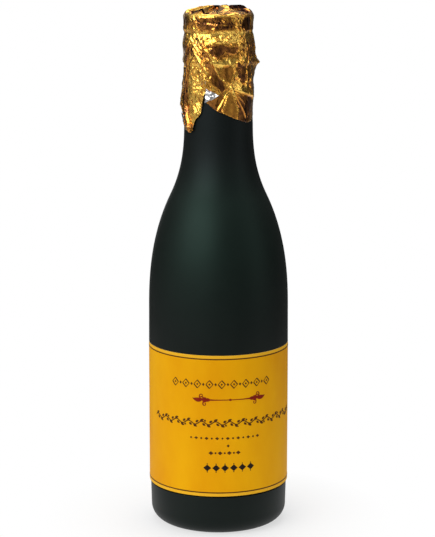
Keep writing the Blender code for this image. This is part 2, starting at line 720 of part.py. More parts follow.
def fixed_pieces(finish, home, helpers):
    """What stays still in the hand that holds the bottle."""
    bottle_shell(finish["bottle_green"], home)
    wrap_label(finish["label_paper"], home)
    neck_foil(finish["gold_foil"], home)
    closure_disc(finish["white_board"], home)
    barrel_tube(finish["kraft_board"], home)
    deck(finish["black_plastic"], home, helpers)
    deck_circlip(finish["steel"], home)
    base_retaining_ring(finish["steel"], home)
    cylinder_foot(finish["grey_plastic"], home, helpers)
    fill_grommet(finish["rubber"], home)
    cylinder_tube(finish["clear_plastic"], home)
    cylinder_head(finish["grey_plastic"], home, helpers)
    tie_bolts(finish["steel"], home)
    tie_nuts(finish["steel"], home, helpers)
    o_ring("stem_seal", 3.55, 1.5, 47.1, finish["rubber"], home)
    o_ring("foot_seal", 24.5, 1.2, 47.7, finish["rubber"], home)
    o_ring("head_seal", 24.5, 1.2, 112.3, finish["rubber"], home)


def base_pieces(finish, home, helpers):
    """What turns with the base."""
    cup = base_cup(finish["bottle_green"], home, helpers)
    cam = cam_ring(finish["grey_plastic"], home, helpers)
    return [cup, cam, *cam_screws(finish["steel"], home)]


def valve_pieces(finish, home, helpers):
    """What the cam pulls down. The spring follows with one end."""
    stem = valve_stem(finish["brass"], home)
    seal = o_ring("poppet_seal", 10.4, 1.5, HEAD_SEAT - 1.05, finish["rubber"], home)
    follower = yoke(finish["grey_plastic"], home, helpers)
    nut = stem_nut(finish["brass"], home, helpers)
    return [stem, seal, follower, nut, valve_spring(finish["steel"], home)]


def shot_pieces(finish, home):
    """What the air throws up the barrel."""
    cup = obturator(finish["black_plastic"], home)
    wad = cylinder("felt_wad", 15.6, WAD_BOTTOM, WAD_TOP, finish["felt"], home, INNER_STEPS, bevel=0.5)
    charges = []
    for i, colour in enumerate(CHARGE_COLOURS):
        charges.append(confetti_charge(i + 1, finish[f"tissue_{colour}"], home))
    return [cup, wad, *charges]


def parent_to_axis(name, pieces, home):
    """Parents moving pieces to an empty on their joint's axis, which is the bottle's own."""
    axis = bpy.data.objects.new(name, None)
    home.objects.link(axis)
    for piece in pieces:
        piece.parent = axis


def main():
    clear_scene()
    home = collection("confetti_popper_bottle")
    helpers = collection("cutters")
    finish = make_materials()
    fixed_pieces(finish, home, helpers)
    parent_to_axis("base twist axis", base_pieces(finish, home, helpers), home)
    parent_to_axis("valve slide axis", valve_pieces(finish, home, helpers), home)
    parent_to_axis("shot slide axis", shot_pieces(finish, home), home)


main()
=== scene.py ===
"""Looks of a confetti popper shaped like a champagne bottle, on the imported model.

Metres in the scene, millimetres in the named values below. +Z is up and the label's middle faces
-Y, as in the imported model. Angles are in degrees and run from -Y towards +X. The foil's angles run
from its own front, which is turned a little from the label's middle.
"""

import json
import math
import random

import bmesh
import bpy
import numpy as np
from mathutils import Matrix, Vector, noise

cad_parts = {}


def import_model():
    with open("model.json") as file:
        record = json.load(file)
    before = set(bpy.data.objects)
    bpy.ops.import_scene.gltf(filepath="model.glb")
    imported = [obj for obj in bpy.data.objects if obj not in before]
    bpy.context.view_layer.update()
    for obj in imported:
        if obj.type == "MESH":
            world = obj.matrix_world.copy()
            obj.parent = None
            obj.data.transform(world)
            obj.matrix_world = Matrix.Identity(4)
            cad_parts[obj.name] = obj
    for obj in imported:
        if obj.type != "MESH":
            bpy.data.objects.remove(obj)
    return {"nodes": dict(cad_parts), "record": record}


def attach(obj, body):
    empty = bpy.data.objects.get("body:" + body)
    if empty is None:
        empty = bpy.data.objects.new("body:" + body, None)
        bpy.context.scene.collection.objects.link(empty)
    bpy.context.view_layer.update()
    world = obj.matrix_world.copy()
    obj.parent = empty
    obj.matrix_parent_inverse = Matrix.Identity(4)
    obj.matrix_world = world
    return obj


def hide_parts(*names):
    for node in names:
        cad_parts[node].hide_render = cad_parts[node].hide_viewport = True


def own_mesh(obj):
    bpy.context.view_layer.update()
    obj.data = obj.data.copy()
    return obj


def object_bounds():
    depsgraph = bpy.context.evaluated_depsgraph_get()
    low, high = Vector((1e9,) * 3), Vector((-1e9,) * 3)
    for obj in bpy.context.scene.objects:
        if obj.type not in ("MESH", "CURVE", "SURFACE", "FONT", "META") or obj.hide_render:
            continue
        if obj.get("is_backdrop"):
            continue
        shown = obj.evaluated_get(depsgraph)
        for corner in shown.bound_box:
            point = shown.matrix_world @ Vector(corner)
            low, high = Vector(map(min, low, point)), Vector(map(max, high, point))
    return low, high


MM = 0.001

# Bottle, as in the model's source
BODY_RADIUS = 43
BOTTLE_TOP = 315
SPLIT_HEIGHT = 25.6
LABEL_BOTTOM = 25.9
LABEL_TOP = 113.9
LABEL_RECESS = 0.4
BELLY_TOP = 132.2
SHOULDER_RADIUS = 29.5
SHOULDER_HEIGHT = 205.1
SHOULDER_SLOPE = 0.48
NECK_RADIUS = 20.9
NECK_BOTTOM = 248.4
LIP_RADIUS = 20.1
LIP_BOTTOM = 306.2
WALL = 2.2
TURNED_STEPS = 192
MOUTH_RADIUS = 17.7
SHELL_BORE = 40.8
LEDGE_RADIUS = 39.8
LEDGE_HEIGHT = 39.1
GROOVE_RADIUS = 41.6
DECK_BOTTOM = 36
RETAINER_HEIGHT = 29

# Base cup
PUNT_HEIGHT = 5.8
CUP_FLOOR = 8
CUP_TOP = 32
CUP_RADIUS = 41.9
CUP_RIM_RADIUS = 42.3
CUP_CORNER = 9.8
CUP_WALL = 2.3
SPIGOT_RADIUS = 40.4
SPIGOT_BORE = 38.2
RETAINER_BED = 39.4
SCREW_CIRCLE = 24
SCREW_HOLE = 1.55

# Valve spring
SPRING_RADIUS = 6.5
SPRING_TURNS = 9
SPRING_WIRE = 0.7
SPRING_LOW = 52
SPRING_HIGH = 103.7

# Label
PAPER_INNER = 42.93
PAPER_THICKNESS = 0.12
PAPER_OUTER = PAPER_INNER + PAPER_THICKNESS
SEAM_OVERLAP = 6  # degrees by which the paper's ends overlap at the back
INK_HEIGHT = 0.03
BORDER_INSET = 2.3
BORDER_WIDTH = 0.7
FINEST = 0.03  # half-width to which printed shapes taper
DOT_STEPS = 8
TOP_ROW = 96.1  # heights of the printed rows
RULE_ROW = 86.5
VINE_ROW = 72
DOT_ROW = 62.5
MARK_ROW = 57.8
SMALL_ROW = 53.3
FOOT_ROW = 43.9

# Foil over the neck
FOIL_FRONT = -9.4
SHEET_WIDTH = 131.95  # once round the sheet, laid flat
RIM_RADIUS = 20.85
FOIL_PEAK = 320.1
FOIL_THICKNESS = 0.1
FOIL_EDGE = [  # height of the torn edge at each angle
    (-152, 258), (-120, 252), (-96, 259), (-79, 260.5), (-68, 247), (-57, 245.5),
    (-44, 248), (-40, 252.5), (-29, 257), (-25.5, 266), (-22, 270), (-19, 263.5),
    (-2, 258.6), (11, 256.8), (25, 254.3), (44, 251.9), (56, 250.8), (70, 251.4),
    (84, 254), (101, 257.5), (124, 261), (160, 251.5), (186, 255),
]
FOIL_OUTLINE = [  # plain radius at each height
    (236, 22.6), (242, 22.3), (250, 21.8), (262, 21.4), (275, 21), (284.6, 20.6), (287, 21.35),
    (291, 20.9), (298, 21.3), (304.4, 20.2), (306.4, 20.9), (314, 20.9), (316, 20.8),
]
NECK_BEADS = [(272, 20), (283.8, 19.4), (287.2, 19.7), (290.6, 19.3), (304.4, 19.2)]  # height, radius
NECK_OUTLINE = [  # the bottle's own radius under the foil
    (236, 21.9), (242, 21.2), (248.4, 20.9), *NECK_BEADS, (306.2, 20.1), (320, 20.1),
]
CROWN_RADII = [0, 4.5, 10, 16, 19.8, 20.6, 20.85]
CROWN_HEIGHTS = [319.4, 319, 318.3, 317.3, 316.3, 315.8, 315]
PLEATS = [  # angle at which each gather starts, and its height
    (3, 1), (38, 0.7), (64, 1.2), (95, 0.6), (121, 1.3), (158, 0.8),
    (190, 1.1), (214, 0.7), (247, 1.2), (283, 0.8), (305, 1.3), (334, 0.6),
]
PLEAT_TWIST = 20
HOLLOWS = [  # folds at the top, with painted shade in them: angle, radius, half-length, half-width, depth (below 0 it stands up)
    (104, 12.6, 6.4, 1.8, -2.6),
    (74, 13, 5.4, 2.4, 1.9),
    (-41, 17.2, 1.5, 6.2, -1),
    (-75, 1.6, 2.4, 1.5, -0.9),
    (93, 18.2, 2.6, 2, -0.5),
]
PAINTED_GLEAMS_AND_SHADE = [  # painted highlights and painted shade on the gathers: place, size and change of tone
    (5.6, -3, 3.4, 0.6), (-11, -5, 5, 0.5), (-2, -4, 3.2, -0.3),
]
KNOT = (19.5, 272.8)
CREASES = [  # ends as angle and height, relief, width to the left and to the right
    (KNOT, (-3, 257.6), 0.4, 0.6, 0.7),
    (KNOT, (5.2, 257), 0.35, 0.6, 0.6),
    (KNOT, (32, 258.6), 0.5, 0.7, 0.7),
    (KNOT, (51, 253.6), 0.8, 0.7, 0.8),
    (KNOT, (46.8, 262), 0.5, 0.7, 0.7),
    (KNOT, (75, 265.2), 0.9, 4.5, 1.1),
    (KNOT, (8, 277), 0.5, 1, 1),
    (KNOT, (27, 281), 0.5, 1, 1.2),
    ((-39, 303), (-4, 286.9), 0.6, 1.2, 1.1),
    ((-55, 303), (-27, 290), 0.6, 1, 1.1),
    ((-22, 298.6), (4, 277.4), 0.6, 1.2, 1.1),
    ((-47, 296), (-16, 280), 0.6, 1.1, 1),
    ((-7, 299.6), (31, 300.2), 0.6, 2.4, 0.9),
    ((62, 300), (50, 272), 0.5, 1.1, 1.1),
    ((72, 305), (84, 288), 0.8, 1.4, 1.4),
]
FLATS = [  # smooth facets: tone, which paints in the reflection each shows, lean (below 0 faces up), corners as angle and height
    (0.24, -0.02, [(-27, 314), (-13, 314), (-8, 311.6), (-11, 310.8), (-27, 311.2)]),
    (0.22, -0.02, [(-28, 310.7), (-12, 310.4), (-7, 308), (-13, 306.6), (-26, 306.8)]),
    (0.17, -0.14, [(-2, 314), (4, 314), (10, 310), (3, 309.8)]),
    (0.12, -0.08, [(5, 309), (16, 309), (13, 307), (5, 307)]),
    (0.16, -0.12, [(46, 314), (66, 314), (62, 306), (46, 306), (42, 308.6)]),
    (0.17, -0.12, [(-7, 303), (5, 303.3), (5, 300.8), (-6, 300.6)]),
    (0.19, -0.09, [(-11, 297), (6, 298.4), (19, 296.2), (34, 296.6), (30, 292), (12, 293.4), (4, 291),
                   (-11, 291)]),
    (0.42, -0.05, [(2, 281), (8, 285.6), (22, 286), (29, 282), (26, 277), (17, 275), (8, 278)]),
    (0.26, -0.02, [(-22, 287.5), (-13, 288.6), (4, 277.4), (-1, 271.5), (-8, 274.5)]),
    (0.14, 0.11, [(31, 287.6), (42, 286), (51, 279.6), (51, 273.6), (41, 275), (33, 282)]),
    (0.16, -0.10, [(5, 276.6), (10, 275.6), (14, 272.4), (4, 269.6), (0, 272.6), (2, 276)]),
    (0.50, -0.01, [(10, 265.4), (22, 269), (28, 264), (30, 259.2), (31, 252), (8, 254)]),
    (0.26, -0.02, [(-18, 264), (-3, 266.2), (-5, 256), (-20, 260)]),
    (0.17, 0.02, [(29, 268.6), (44, 267.4), (60, 262.4), (64, 254), (52, 249), (36, 250), (33, 260)]),
    (0.32, -0.02, [(-5, 267.4), (3, 269.6), (9, 271), (9, 266), (6, 255), (-6, 255)]),
    (0.11, -0.10, [(54, 267), (70, 265), (66, 258.2), (58, 254.2)]),
]
WRINKLED = [  # finely wrinkled parts: angle, height, half-widths in mm, amount
    (-40, 274, 8, 17, 0.25),
    (-38, 300, 9, 9, 0.4),
    (34, 310, 4, 4.5, 0.6),
    (52, 290, 5, 12, 0.4),
    (10, 301, 12, 3.2, 0.6),
    (14, 290, 9, 3, -0.2),
    (-38, 311, 7, 4, 0.6),
]
PAINTED_LIGHT_AND_SHADE = [  # painted highlights, reflections and shade, as a change of tone: angle, height, half-widths in mm, amount
    (-40, 268, 8, 18, 0.14),
    (-30, 296, 9, 7, -0.20),
    (30, 256, 12, 8, -0.12),
    (2, 304.6, 18, 2, 0.34),
    (14, 287.6, 11, 2.8, 0.34),
    (-14, 315.1, 17, 0.8, 0.60),
    (-8, 310.2, 27, 4.2, -0.38),
    (-17, 310.9, 8, 0.7, -0.30),
    (-14, 301.2, 15, 3.4, 0.08),
    (-14, 292.8, 22, 3.8, -0.32),
    (64, 287, 9, 16, -0.34),
    (55, 260, 7, 9, -0.28),
    (-12, 282, 6, 8, -0.10),
]
ROLL = [  # angle, height, half-width and half-depth along the rolled fold
    (-60, 297, 0.4, 0.2), (-61, 288, 1.4, 0.7), (-62, 278, 1.9, 1.1), (-63, 268, 2.2, 1.4),
    (-63, 261, 2.3, 1.5), (-59, 255.5, 2.2, 1.4), (-54, 251, 1.9, 1.3), (-51, 248.6, 2.6, 1.7),
    (-50, 246.6, 2.4, 1.7), (-50, 245.2, 0.9, 0.7),
]

# Stage
FLOOR_RADIUS = 0.24  # metres
FLOOR_LEVEL = -0.00005
AMBIENT = 0.42  # of the backdrop's light, on rough surfaces

# Camera, fitted to the photograph
CAMERA_DISTANCE = 1267.4
CAMERA_HEIGHT = 414.2
CAMERA_AZIMUTH = -9.4
CAMERA_PITCH = 0.1989
CAMERA_LENS = 140.78
AXIS_OFFSET = 1 / 2100  # the axis stands one pixel right of the middle


# Shader nodes


def node(tree, kind, inputs=None, **settings):
    """A new node. An input is given as a value or as another node's output."""
    made = tree.nodes.new(kind)
    for name, value in settings.items():
        setattr(made, name, value)
    for name, value in (inputs or {}).items():
        connect(made.inputs[name], value)
    return made


def connect(socket, value):
    """Links an output to a socket, or sets the socket's own value."""
    if isinstance(value, bpy.types.NodeSocket):
        socket.id_data.links.new(value, socket)
    else:
        socket.default_value = value


def rgb(colour):
    """A colour as a socket takes it."""
    return (*colour, 1)


def new_material(name):
    """A material and its object coordinates."""
    made = bpy.data.materials.new(name)
    made.use_nodes = True
    return made, node(made.node_tree, "ShaderNodeTexCoord").outputs["Object"]


def separate(place):
    """The three outputs X, Y and Z of a place."""
    return node(place.id_data, "ShaderNodeSeparateXYZ", {"Vector": place}).outputs


def grain(place, waves, detail=3, roughness=0.55):
    """Fractal noise from 0 to 1. Its waves for each metre are one number, or one along each axis."""
    tree = place.id_data
    if isinstance(waves, tuple):
        place = node(tree, "ShaderNodeMapping", {"Vector": place, "Scale": waves}).outputs["Vector"]
        waves = 1
    inputs = {"Vector": place, "Scale": waves, "Detail": detail, "Roughness": roughness}
    return node(tree, "ShaderNodeTexNoise", inputs).outputs["Fac"]


def ramp(value, stops):
    """A colour ramp with (position, colour) stops."""
    made = node(value.id_data, "ShaderNodeValToRGB", {"Fac": value})
    elements = made.color_ramp.elements
    while len(elements) > 1:
        elements.remove(elements[-1])
    elements[0].position, elements[0].color = stops[0][0], rgb(stops[0][1])
    for position, colour in stops[1:]:
        elements.new(position).color = rgb(colour)
    return made.outputs["Color"]


def remap(value, low, high, from_low=0, from_high=1):
    """Linear change of range, clamped."""
    inputs = {"Value": value, "From Min": from_low, "From Max": from_high, "To Min": low, "To Max": high}
    return node(value.id_data, "ShaderNodeMapRange", inputs).outputs["Result"]


def math_node(operation, result, *others):
    """One operation on two values, or on more in turn. One of them at least is a node's output."""
    tree = next(value.id_data for value in (result, *others) if isinstance(value, bpy.types.NodeSocket))
    for other in others:
        result = node(tree, "ShaderNodeMath", {0: result, 1: other}, operation=operation).outputs["Value"]
    return result


def mix_colour(share, a, b):
    """The colour a, or b where the share is 1."""
    inputs = {"Factor": share, "A": a, "B": b}
    return node(share.id_data, "ShaderNodeMix", inputs, data_type="RGBA").outputs["Result"]


def bump(height, distance, strength=1, normal=None):
    """A bump normal. The distance is in millimetres."""
    inputs = {"Height": height, "Distance": distance * MM, "Strength": strength}
    if normal is not None:
        inputs["Normal"] = normal
    return node(height.id_data, "ShaderNodeBump", inputs).outputs["Normal"]


def finish(made, **values):
    """Sets or links inputs of a material's shader, named with underscores for spaces."""
    shader = made.node_tree.nodes["Principled BSDF"]
    for name, value in values.items():
        connect(shader.inputs[name.replace("_", " ")], value)
    return made


# Materials


def bottle_plastic():
    """Very dark green moulding with a satin skin, faint mottling and scuffs. Its reflections are tinted
    greenest at the shoulder, a painted sheen where the glow falls.
    """
    made, place = new_material("bottle_green")
    cloud = grain(place, 28, 4)
    shade = ramp(cloud, [(0.3, (0.0018, 0.0028, 0.0023)), (0.7, (0.0032, 0.0048, 0.0040))])
    scuffs = remap(grain(place, (240, 240, 900), 5, 0.7), 0, 0.35, 0.63, 0.80)
    height = separate(place)[2]
    # Reflection tint by height, greenest at the shoulder: a painted sheen
    belly, green, neck = (0.60, 0.74, 0.70), (0.57, 1, 0.84), (0.56, 0.68, 0.72)
    stops = [(0, belly), (0.38, green), (0.60, green), (0.80, neck)]
    flow = bump(grain(place, 60, 2), 0.05)
    return finish(
        made, Base_Color=mix_colour(scuffs, shade, rgb((0.013, 0.019, 0.017))),
        Roughness=remap(cloud, 0.46, 0.56), Specular_IOR_Level=0.26,
        Specular_Tint=ramp(remap(height, 0, 1, 0.12, 0.26), stops),
        Normal=bump(grain(place, 1900, 2), 0.012, 1, flow),
    )


def label_paper():
    """Orange-yellow printed paper, lighter outside its border lines, with a soft sheen."""
    made, place = new_material("label_paper")
    height = separate(place)[2]
    cloud = grain(place, (26, 26, 12), 4)
    field = ramp(cloud, [(0.32, (0.72, 0.300, 0.001)), (0.62, (0.80, 0.385, 0.002))])
    low = math_node("LESS_THAN", height, (LABEL_BOTTOM + BORDER_INSET) * MM)
    high = math_node("GREATER_THAN", height, (LABEL_TOP - BORDER_INSET) * MM)
    printed = mix_colour(math_node("ADD", low, high), field, rgb((0.80, 0.42, 0.02)))
    fibres = grain(place, (900, 900, 260), 4, 0.6)
    speck = remap(grain(place, 700, 2), 0, 0.22, 0.68, 0.80)
    return finish(
        made, Base_Color=mix_colour(speck, printed, rgb((0.86, 0.50, 0.06))),
        Roughness=remap(fibres, 0.50, 0.66), Specular_IOR_Level=0.10,
        Specular_Tint=rgb((1, 0.80, 0.45)), Normal=bump(fibres, 0.02, 0.8),
    )


def gold_foil():
    """Gold lacquered foil. The sheet carries its tone, partly how thick the lacquer lies and partly painted
    shade, highlights and reflections, and how finely it is wrinkled.
    """
    made, place = new_material("gold_foil")
    tree = made.node_tree
    tone = node(tree, "ShaderNodeAttribute", attribute_name="tone").outputs["Fac"]
    wrinkling = node(tree, "ShaderNodeAttribute", attribute_name="wrinkling").outputs["Fac"]
    streaks = grain(place, (420, 420, 260), 4, 0.65)
    # The wrinkle net lightens the colour on its lines and darkens it in the dimples: painted highlights and
    # shade on the wrinkles
    net = math_node("MULTIPLY", wrinkle_net(place), wrinkling)
    uneven = math_node("ADD", tone, remap(streaks, -0.12, 0.12, 0.25, 0.75), net)
    stops = [
        (0, (0.014, 0.006, 0.006)), (0.16, (0.21, 0.070, 0.018)), (0.42, (0.65, 0.255, 0.034)),
        (0.66, (0.90, 0.43, 0.055)), (0.95, (0.98, 0.61, 0.11)),
    ]
    inputs = {"Vector": place, "Scale": 900, "Detail": 3, "Roughness": 0.6}
    ridges = node(tree, "ShaderNodeTexNoise", inputs, noise_type="RIDGED_MULTIFRACTAL").outputs["Fac"]
    ridges = math_node("MULTIPLY", ridges, wrinkling)
    creased = bump(math_node("ADD", ridges, math_node("MULTIPLY", net, 0.6)), 0.17)
    return finish(
        made, Base_Color=ramp(uneven, stops), Metallic=1,
        Roughness=remap(streaks, 0.08, 0.18), Normal=creased,
        Specular_Tint=remap(tone, 0.15, 1, 0, 0.10),
        Coat_Weight=remap(tone, 0, 0.3, 0, 0.10), Coat_Roughness=0.12, Coat_Normal=creased,
    )


def wrinkle_net(place):
    """A slanting net of fine raised wrinkles, above 0 on its lines and below 0 in the dimples."""
    tree = place.id_data
    size = {"Vector": place, "Rotation": (0, -0.6, 0), "Scale": (0.0016, 0.0016, 0.0042)}
    slanting = node(tree, "ShaderNodeMapping", size, vector_type="TEXTURE").outputs["Vector"]
    wander = node(tree, "ShaderNodeTexNoise", {"Vector": slanting, "Scale": 0.8}).outputs["Color"]
    inputs = {0: wander, 1: (2, 2, 1.4), 2: slanting}
    bent = node(tree, "ShaderNodeVectorMath", inputs, operation="MULTIPLY_ADD").outputs["Vector"]
    inputs = {"Vector": bent, "Scale": 1}
    cells = node(tree, "ShaderNodeTexVoronoi", inputs, feature="DISTANCE_TO_EDGE").outputs["Distance"]
    depth = remap(grain(place, 170, 2), 0.1, 1.3, 0.36, 0.62)
    return math_node("MULTIPLY", remap(cells, 0.52, -0.44, 0.02, 0.28), depth)


def grained(name, dark, light, waves, roughness, relief, detail=4, spread=0.55, strength=1,
            stops=(0.3, 0.7), **more):
    """A finish whose colour, roughness and relief follow one grain."""
    made, place = new_material(name)
    marks = grain(place, waves, detail, spread)
    if isinstance(roughness, tuple):
        roughness = remap(marks, *roughness)
    return finish(
        made, Base_Color=ramp(marks, list(zip(stops, (dark, light)))), Roughness=roughness,
        Normal=bump(marks, relief, strength), **more,
    )


def ink(name, dark, light):
    """Printed ink, slightly uneven on the paper's grain."""
    stops = (0.35, 0.75)
    return grained(name, dark, light, 900, (0.50, 0.66), 0.01, 3, stops=stops, Specular_IOR_Level=0.10)


def metal(name, dark, light, roughness, lines):
    """Bare metal with turning or drawing lines. The lines' waves are given along each axis."""
    worn = (roughness - 0.07, roughness + 0.09)
    return grained(name, dark, light, lines, worn, 0.015, 4, 0.7, 0.7, Metallic=1)


def tissue(name, dark, light):
    """A stack of cut tissue: fine uneven layers along the axis."""
    layers = (90, 90, 4200)
    return grained(name, dark, light, layers, 0.85, 0.12, 3, 0.6, stops=(0.35, 0.65), Sheen_Weight=0.2)


def moulded(name, dark, light):
    """Injection-moulded plastic with a fine skin and faint flow marks."""
    made, place = new_material(name)
    flow = grain(place, (60, 60, 160), 4)
    return finish(
        made, Base_Color=ramp(flow, [(0.3, dark), (0.7, light)]),
        Roughness=remap(flow, 0.37, 0.49), Normal=bump(grain(place, 2200, 2), 0.015),
    )


def kraft_board():
    """Spiral-wound board, its seams climbing round the tube."""
    made, place = new_material("kraft_board")
    x, y, z = separate(place)
    turn = math_node("DIVIDE", math_node("ARCTAN2", y, x), math.tau)
    climb = math_node("MULTIPLY", z, 42)
    wound = math_node("FRACT", math_node("ADD", climb, turn), 0)
    fibres = grain(place, (700, 700, 240), 5, 0.65)
    board = ramp(fibres, [(0.3, (0.33, 0.22, 0.12)), (0.7, (0.50, 0.36, 0.22))])
    seam = math_node("LESS_THAN", wound, 0.018)
    colour = mix_colour(seam, board, rgb((0.20, 0.13, 0.07)))
    return finish(made, Base_Color=colour, Roughness=0.86, Normal=bump(fibres, 0.05))


def make_materials():
    """A finish for each of the record's slots, and those of the print and of the bare side of the sheets."""
    made = {"bottle_plastic": bottle_plastic(), "label_paper": label_paper(), "gold_foil": gold_foil()}
    made["kraft_board"] = kraft_board()
    for kind, name, *values in [
        (grained, "paper_core", (0.60, 0.55, 0.44), (0.76, 0.71, 0.60), 800, 0.8, 0.02),
        (grained, "white_board", (0.74, 0.73, 0.69), (0.86, 0.85, 0.82), 800, 0.9, 0.03, 6, 0.7),
        (grained, "wad_felt", (0.40, 0.38, 0.35), (0.64, 0.62, 0.58), 1500, 0.9, 0.25, 6, 0.7),
        (ink, "brown_ink", (0.065, 0.020, 0.003), (0.11, 0.036, 0.005)),
        (ink, "red_ink", (0.19, 0.010, 0.003), (0.27, 0.020, 0.004)),
        (ink, "black_ink", (0.010, 0.006, 0.004), (0.024, 0.014, 0.008)),
        (moulded, "black_plastic", (0.014, 0.014, 0.016), (0.028, 0.028, 0.030)),
        (moulded, "grey_plastic", (0.25, 0.26, 0.27), (0.33, 0.34, 0.35)),
        (metal, "spring_steel", (0.42, 0.43, 0.44), (0.62, 0.63, 0.64), 0.28, (500, 500, 500)),
        (metal, "fastener_steel", (0.48, 0.48, 0.47), (0.68, 0.68, 0.66), 0.30, (300, 300, 2600)),
        (metal, "valve_brass", (0.60, 0.38, 0.12), (0.80, 0.58, 0.22), 0.26, (120, 120, 3200)),
        (tissue, "tissue_red", (0.45, 0.015, 0.02), (0.72, 0.05, 0.06)),
        (tissue, "tissue_yellow", (0.70, 0.42, 0.02), (0.90, 0.66, 0.07)),
        (tissue, "tissue_blue", (0.015, 0.07, 0.38), (0.05, 0.18, 0.62)),
        (tissue, "tissue_green", (0.02, 0.24, 0.06), (0.06, 0.44, 0.13)),
    ]:
        made[name] = kind(name, *values)
    made["silver_foil"] = grained(
        "silver_foil", (0.44, 0.44, 0.46), (0.70, 0.68, 0.65), 700, (0.22, 0.36), 0.06,
        strength=0.8, Metallic=1,
    )
    made["clear_plastic"] = grained(
        "clear_plastic", (0.66, 0.74, 0.76), (0.80, 0.86, 0.88), (50, 50, 12), (0.12, 0.26), 0.05,
        IOR=1.49, Transmission_Weight=0.55,
    )
    made["seal_rubber"] = grained(
        "seal_rubber", (0.010, 0.010, 0.010), (0.035, 0.034, 0.032), 700, 0.72, 0.03, stops=(0.35, 0.8),
    )
    return made


# Mesh helpers


def polar(radius, degrees, height):
    """A point in metres, from an angle that runs from -Y towards +X."""
    angle = math.radians(degrees)
    return (radius * math.sin(angle) * MM, -radius * math.cos(angle) * MM, height * MM)


def between(table, value):
    """Linear interpolation in a table of (value, result) pairs, also for arrays."""
    return np.interp(value, *zip(*table))


def add_object(name, data):
    """A new object in the scene."""
    made = bpy.data.objects.new(name, data)
    bpy.context.scene.collection.objects.link(made)
    return made


def piece(name, verts, faces, materials, body, crease=35, closed=True):
    """A mesh piece that rides on a body, with faces pointing out and sharp edges kept."""
    mesh = bpy.data.meshes.new(name)
    mesh.from_pydata(verts, [], faces)
    if closed:
        shape = bmesh.new()
        shape.from_mesh(mesh)
        bmesh.ops.recalc_face_normals(shape, faces=shape.faces)
        shape.to_mesh(mesh)
        shape.free()
    mesh.shade_smooth()
    mesh.set_sharp_from_angle(angle=math.radians(crease))
    for material in materials:
        mesh.materials.append(material)
    made = add_object(name, mesh)
    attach(made, body)
    return made


def arc(centre, radius, start, end, steps):
    """Points along an arc, with angles in degrees from the outward direction."""
    turns = [math.radians(start + (end - start) * i / steps) for i in range(steps + 1)]
    return [(centre[0] + radius * math.cos(t), centre[1] + radius * math.sin(t)) for t in turns]


def bezier(a, b, c, d, steps):
    """Points along a cubic from a to d with handles b and c."""
    points = []
    for i in range(steps + 1):
        t = i / steps
        weights = ((1 - t) ** 3, 3 * (1 - t) ** 2 * t, 3 * (1 - t) * t**2, t**3)
        points.append(tuple(sum(w * p[k] for w, p in zip(weights, (a, b, c, d))) for k in (0, 1)))
    return points


def rounded(outline, radius, steps=3):
    """A closed profile with small fillets on its sharp corners."""
    made = []
    count = len(outline)
    for i, here in enumerate(outline):
        corner = Vector(here)
        back = Vector(outline[i - 1]) - corner
        ahead = Vector(outline[(i + 1) % count]) - corner
        if here[0] == 0 or back.length == 0 or ahead.length == 0 or back.angle(ahead) > 2.6:
            made.append(here)
            continue
        cut = min(radius, back.length * 0.4, ahead.length * 0.4)
        first = corner + back.normalized() * cut
        last = corner + ahead.normalized() * cut
        for k in range(steps + 1):
            t = k / steps
            made.append(tuple(first * (1 - t) ** 2 + corner * 2 * t * (1 - t) + last * t**2))
    return made


def band(low, high):
    """Faces between two rings. A ring that is one point at the axis gives triangles."""
    around = zip(low, low[1:] + low[:1], high[1:] + high[:1], high)
    return [list(dict.fromkeys(face)) for face in around]


def tube_faces(stations, sides):
    """Faces of a tube whose rings follow each other, with its ends closed."""
    rings = [list(range(i * sides, (i + 1) * sides)) for i in range(stations)]
    faces = [face for low, high in zip(rings, rings[1:]) for face in band(low, high)]
    return faces + [rings[0], rings[-1]]


def turned(name, outline, material, body):
    """A solid of revolution from a closed profile of (radius, height)."""
    verts, rings = [], []
    for radius, height in outline:
        if radius == 0:
            rings.append([len(verts)] * TURNED_STEPS)
            verts.append((0, 0, height * MM))
            continue
        rings.append(list(range(len(verts), len(verts) + TURNED_STEPS)))
        verts += [polar(radius, 360 * k / TURNED_STEPS, height) for k in range(TURNED_STEPS)]
    on_axis = outline[0][0] == 0 and outline[-1][0] == 0
    following = rings[1:] if on_axis else rings[1:] + rings[:1]
    faces = [face for low, high in zip(rings, following) for face in band(low, high)]
    return piece(name, verts, faces, [material], body)


# Bottle and cup


def notch(radius, floor, height, half_width):
    """A square groove in a wall, run from below upwards."""
    low, high = height - half_width, height + half_width
    return [(radius, low), (floor, low), (floor, high), (radius, high)]


def shoulder(steps):
    """The bottle's ogee from belly to neck."""
    belly, middle = (BODY_RADIUS - 0.1, BELLY_TOP), (SHOULDER_RADIUS, SHOULDER_HEIGHT)
    neck = (NECK_RADIUS, NECK_BOTTOM)
    handles = [  # an end of a curve, the rise from it to its handle, and the slope there
        (belly, 17.2, 0), (middle, -27.9, SHOULDER_SLOPE),
        (middle, 15.2, SHOULDER_SLOPE), (neck, -14.3, 0),
    ]
    a, b, c, d = ((end[0] - slope * rise, end[1] + rise) for end, rise, slope in handles)
    return bezier(belly, a, b, middle, steps) + bezier(middle, c, d, neck, steps)[1:]


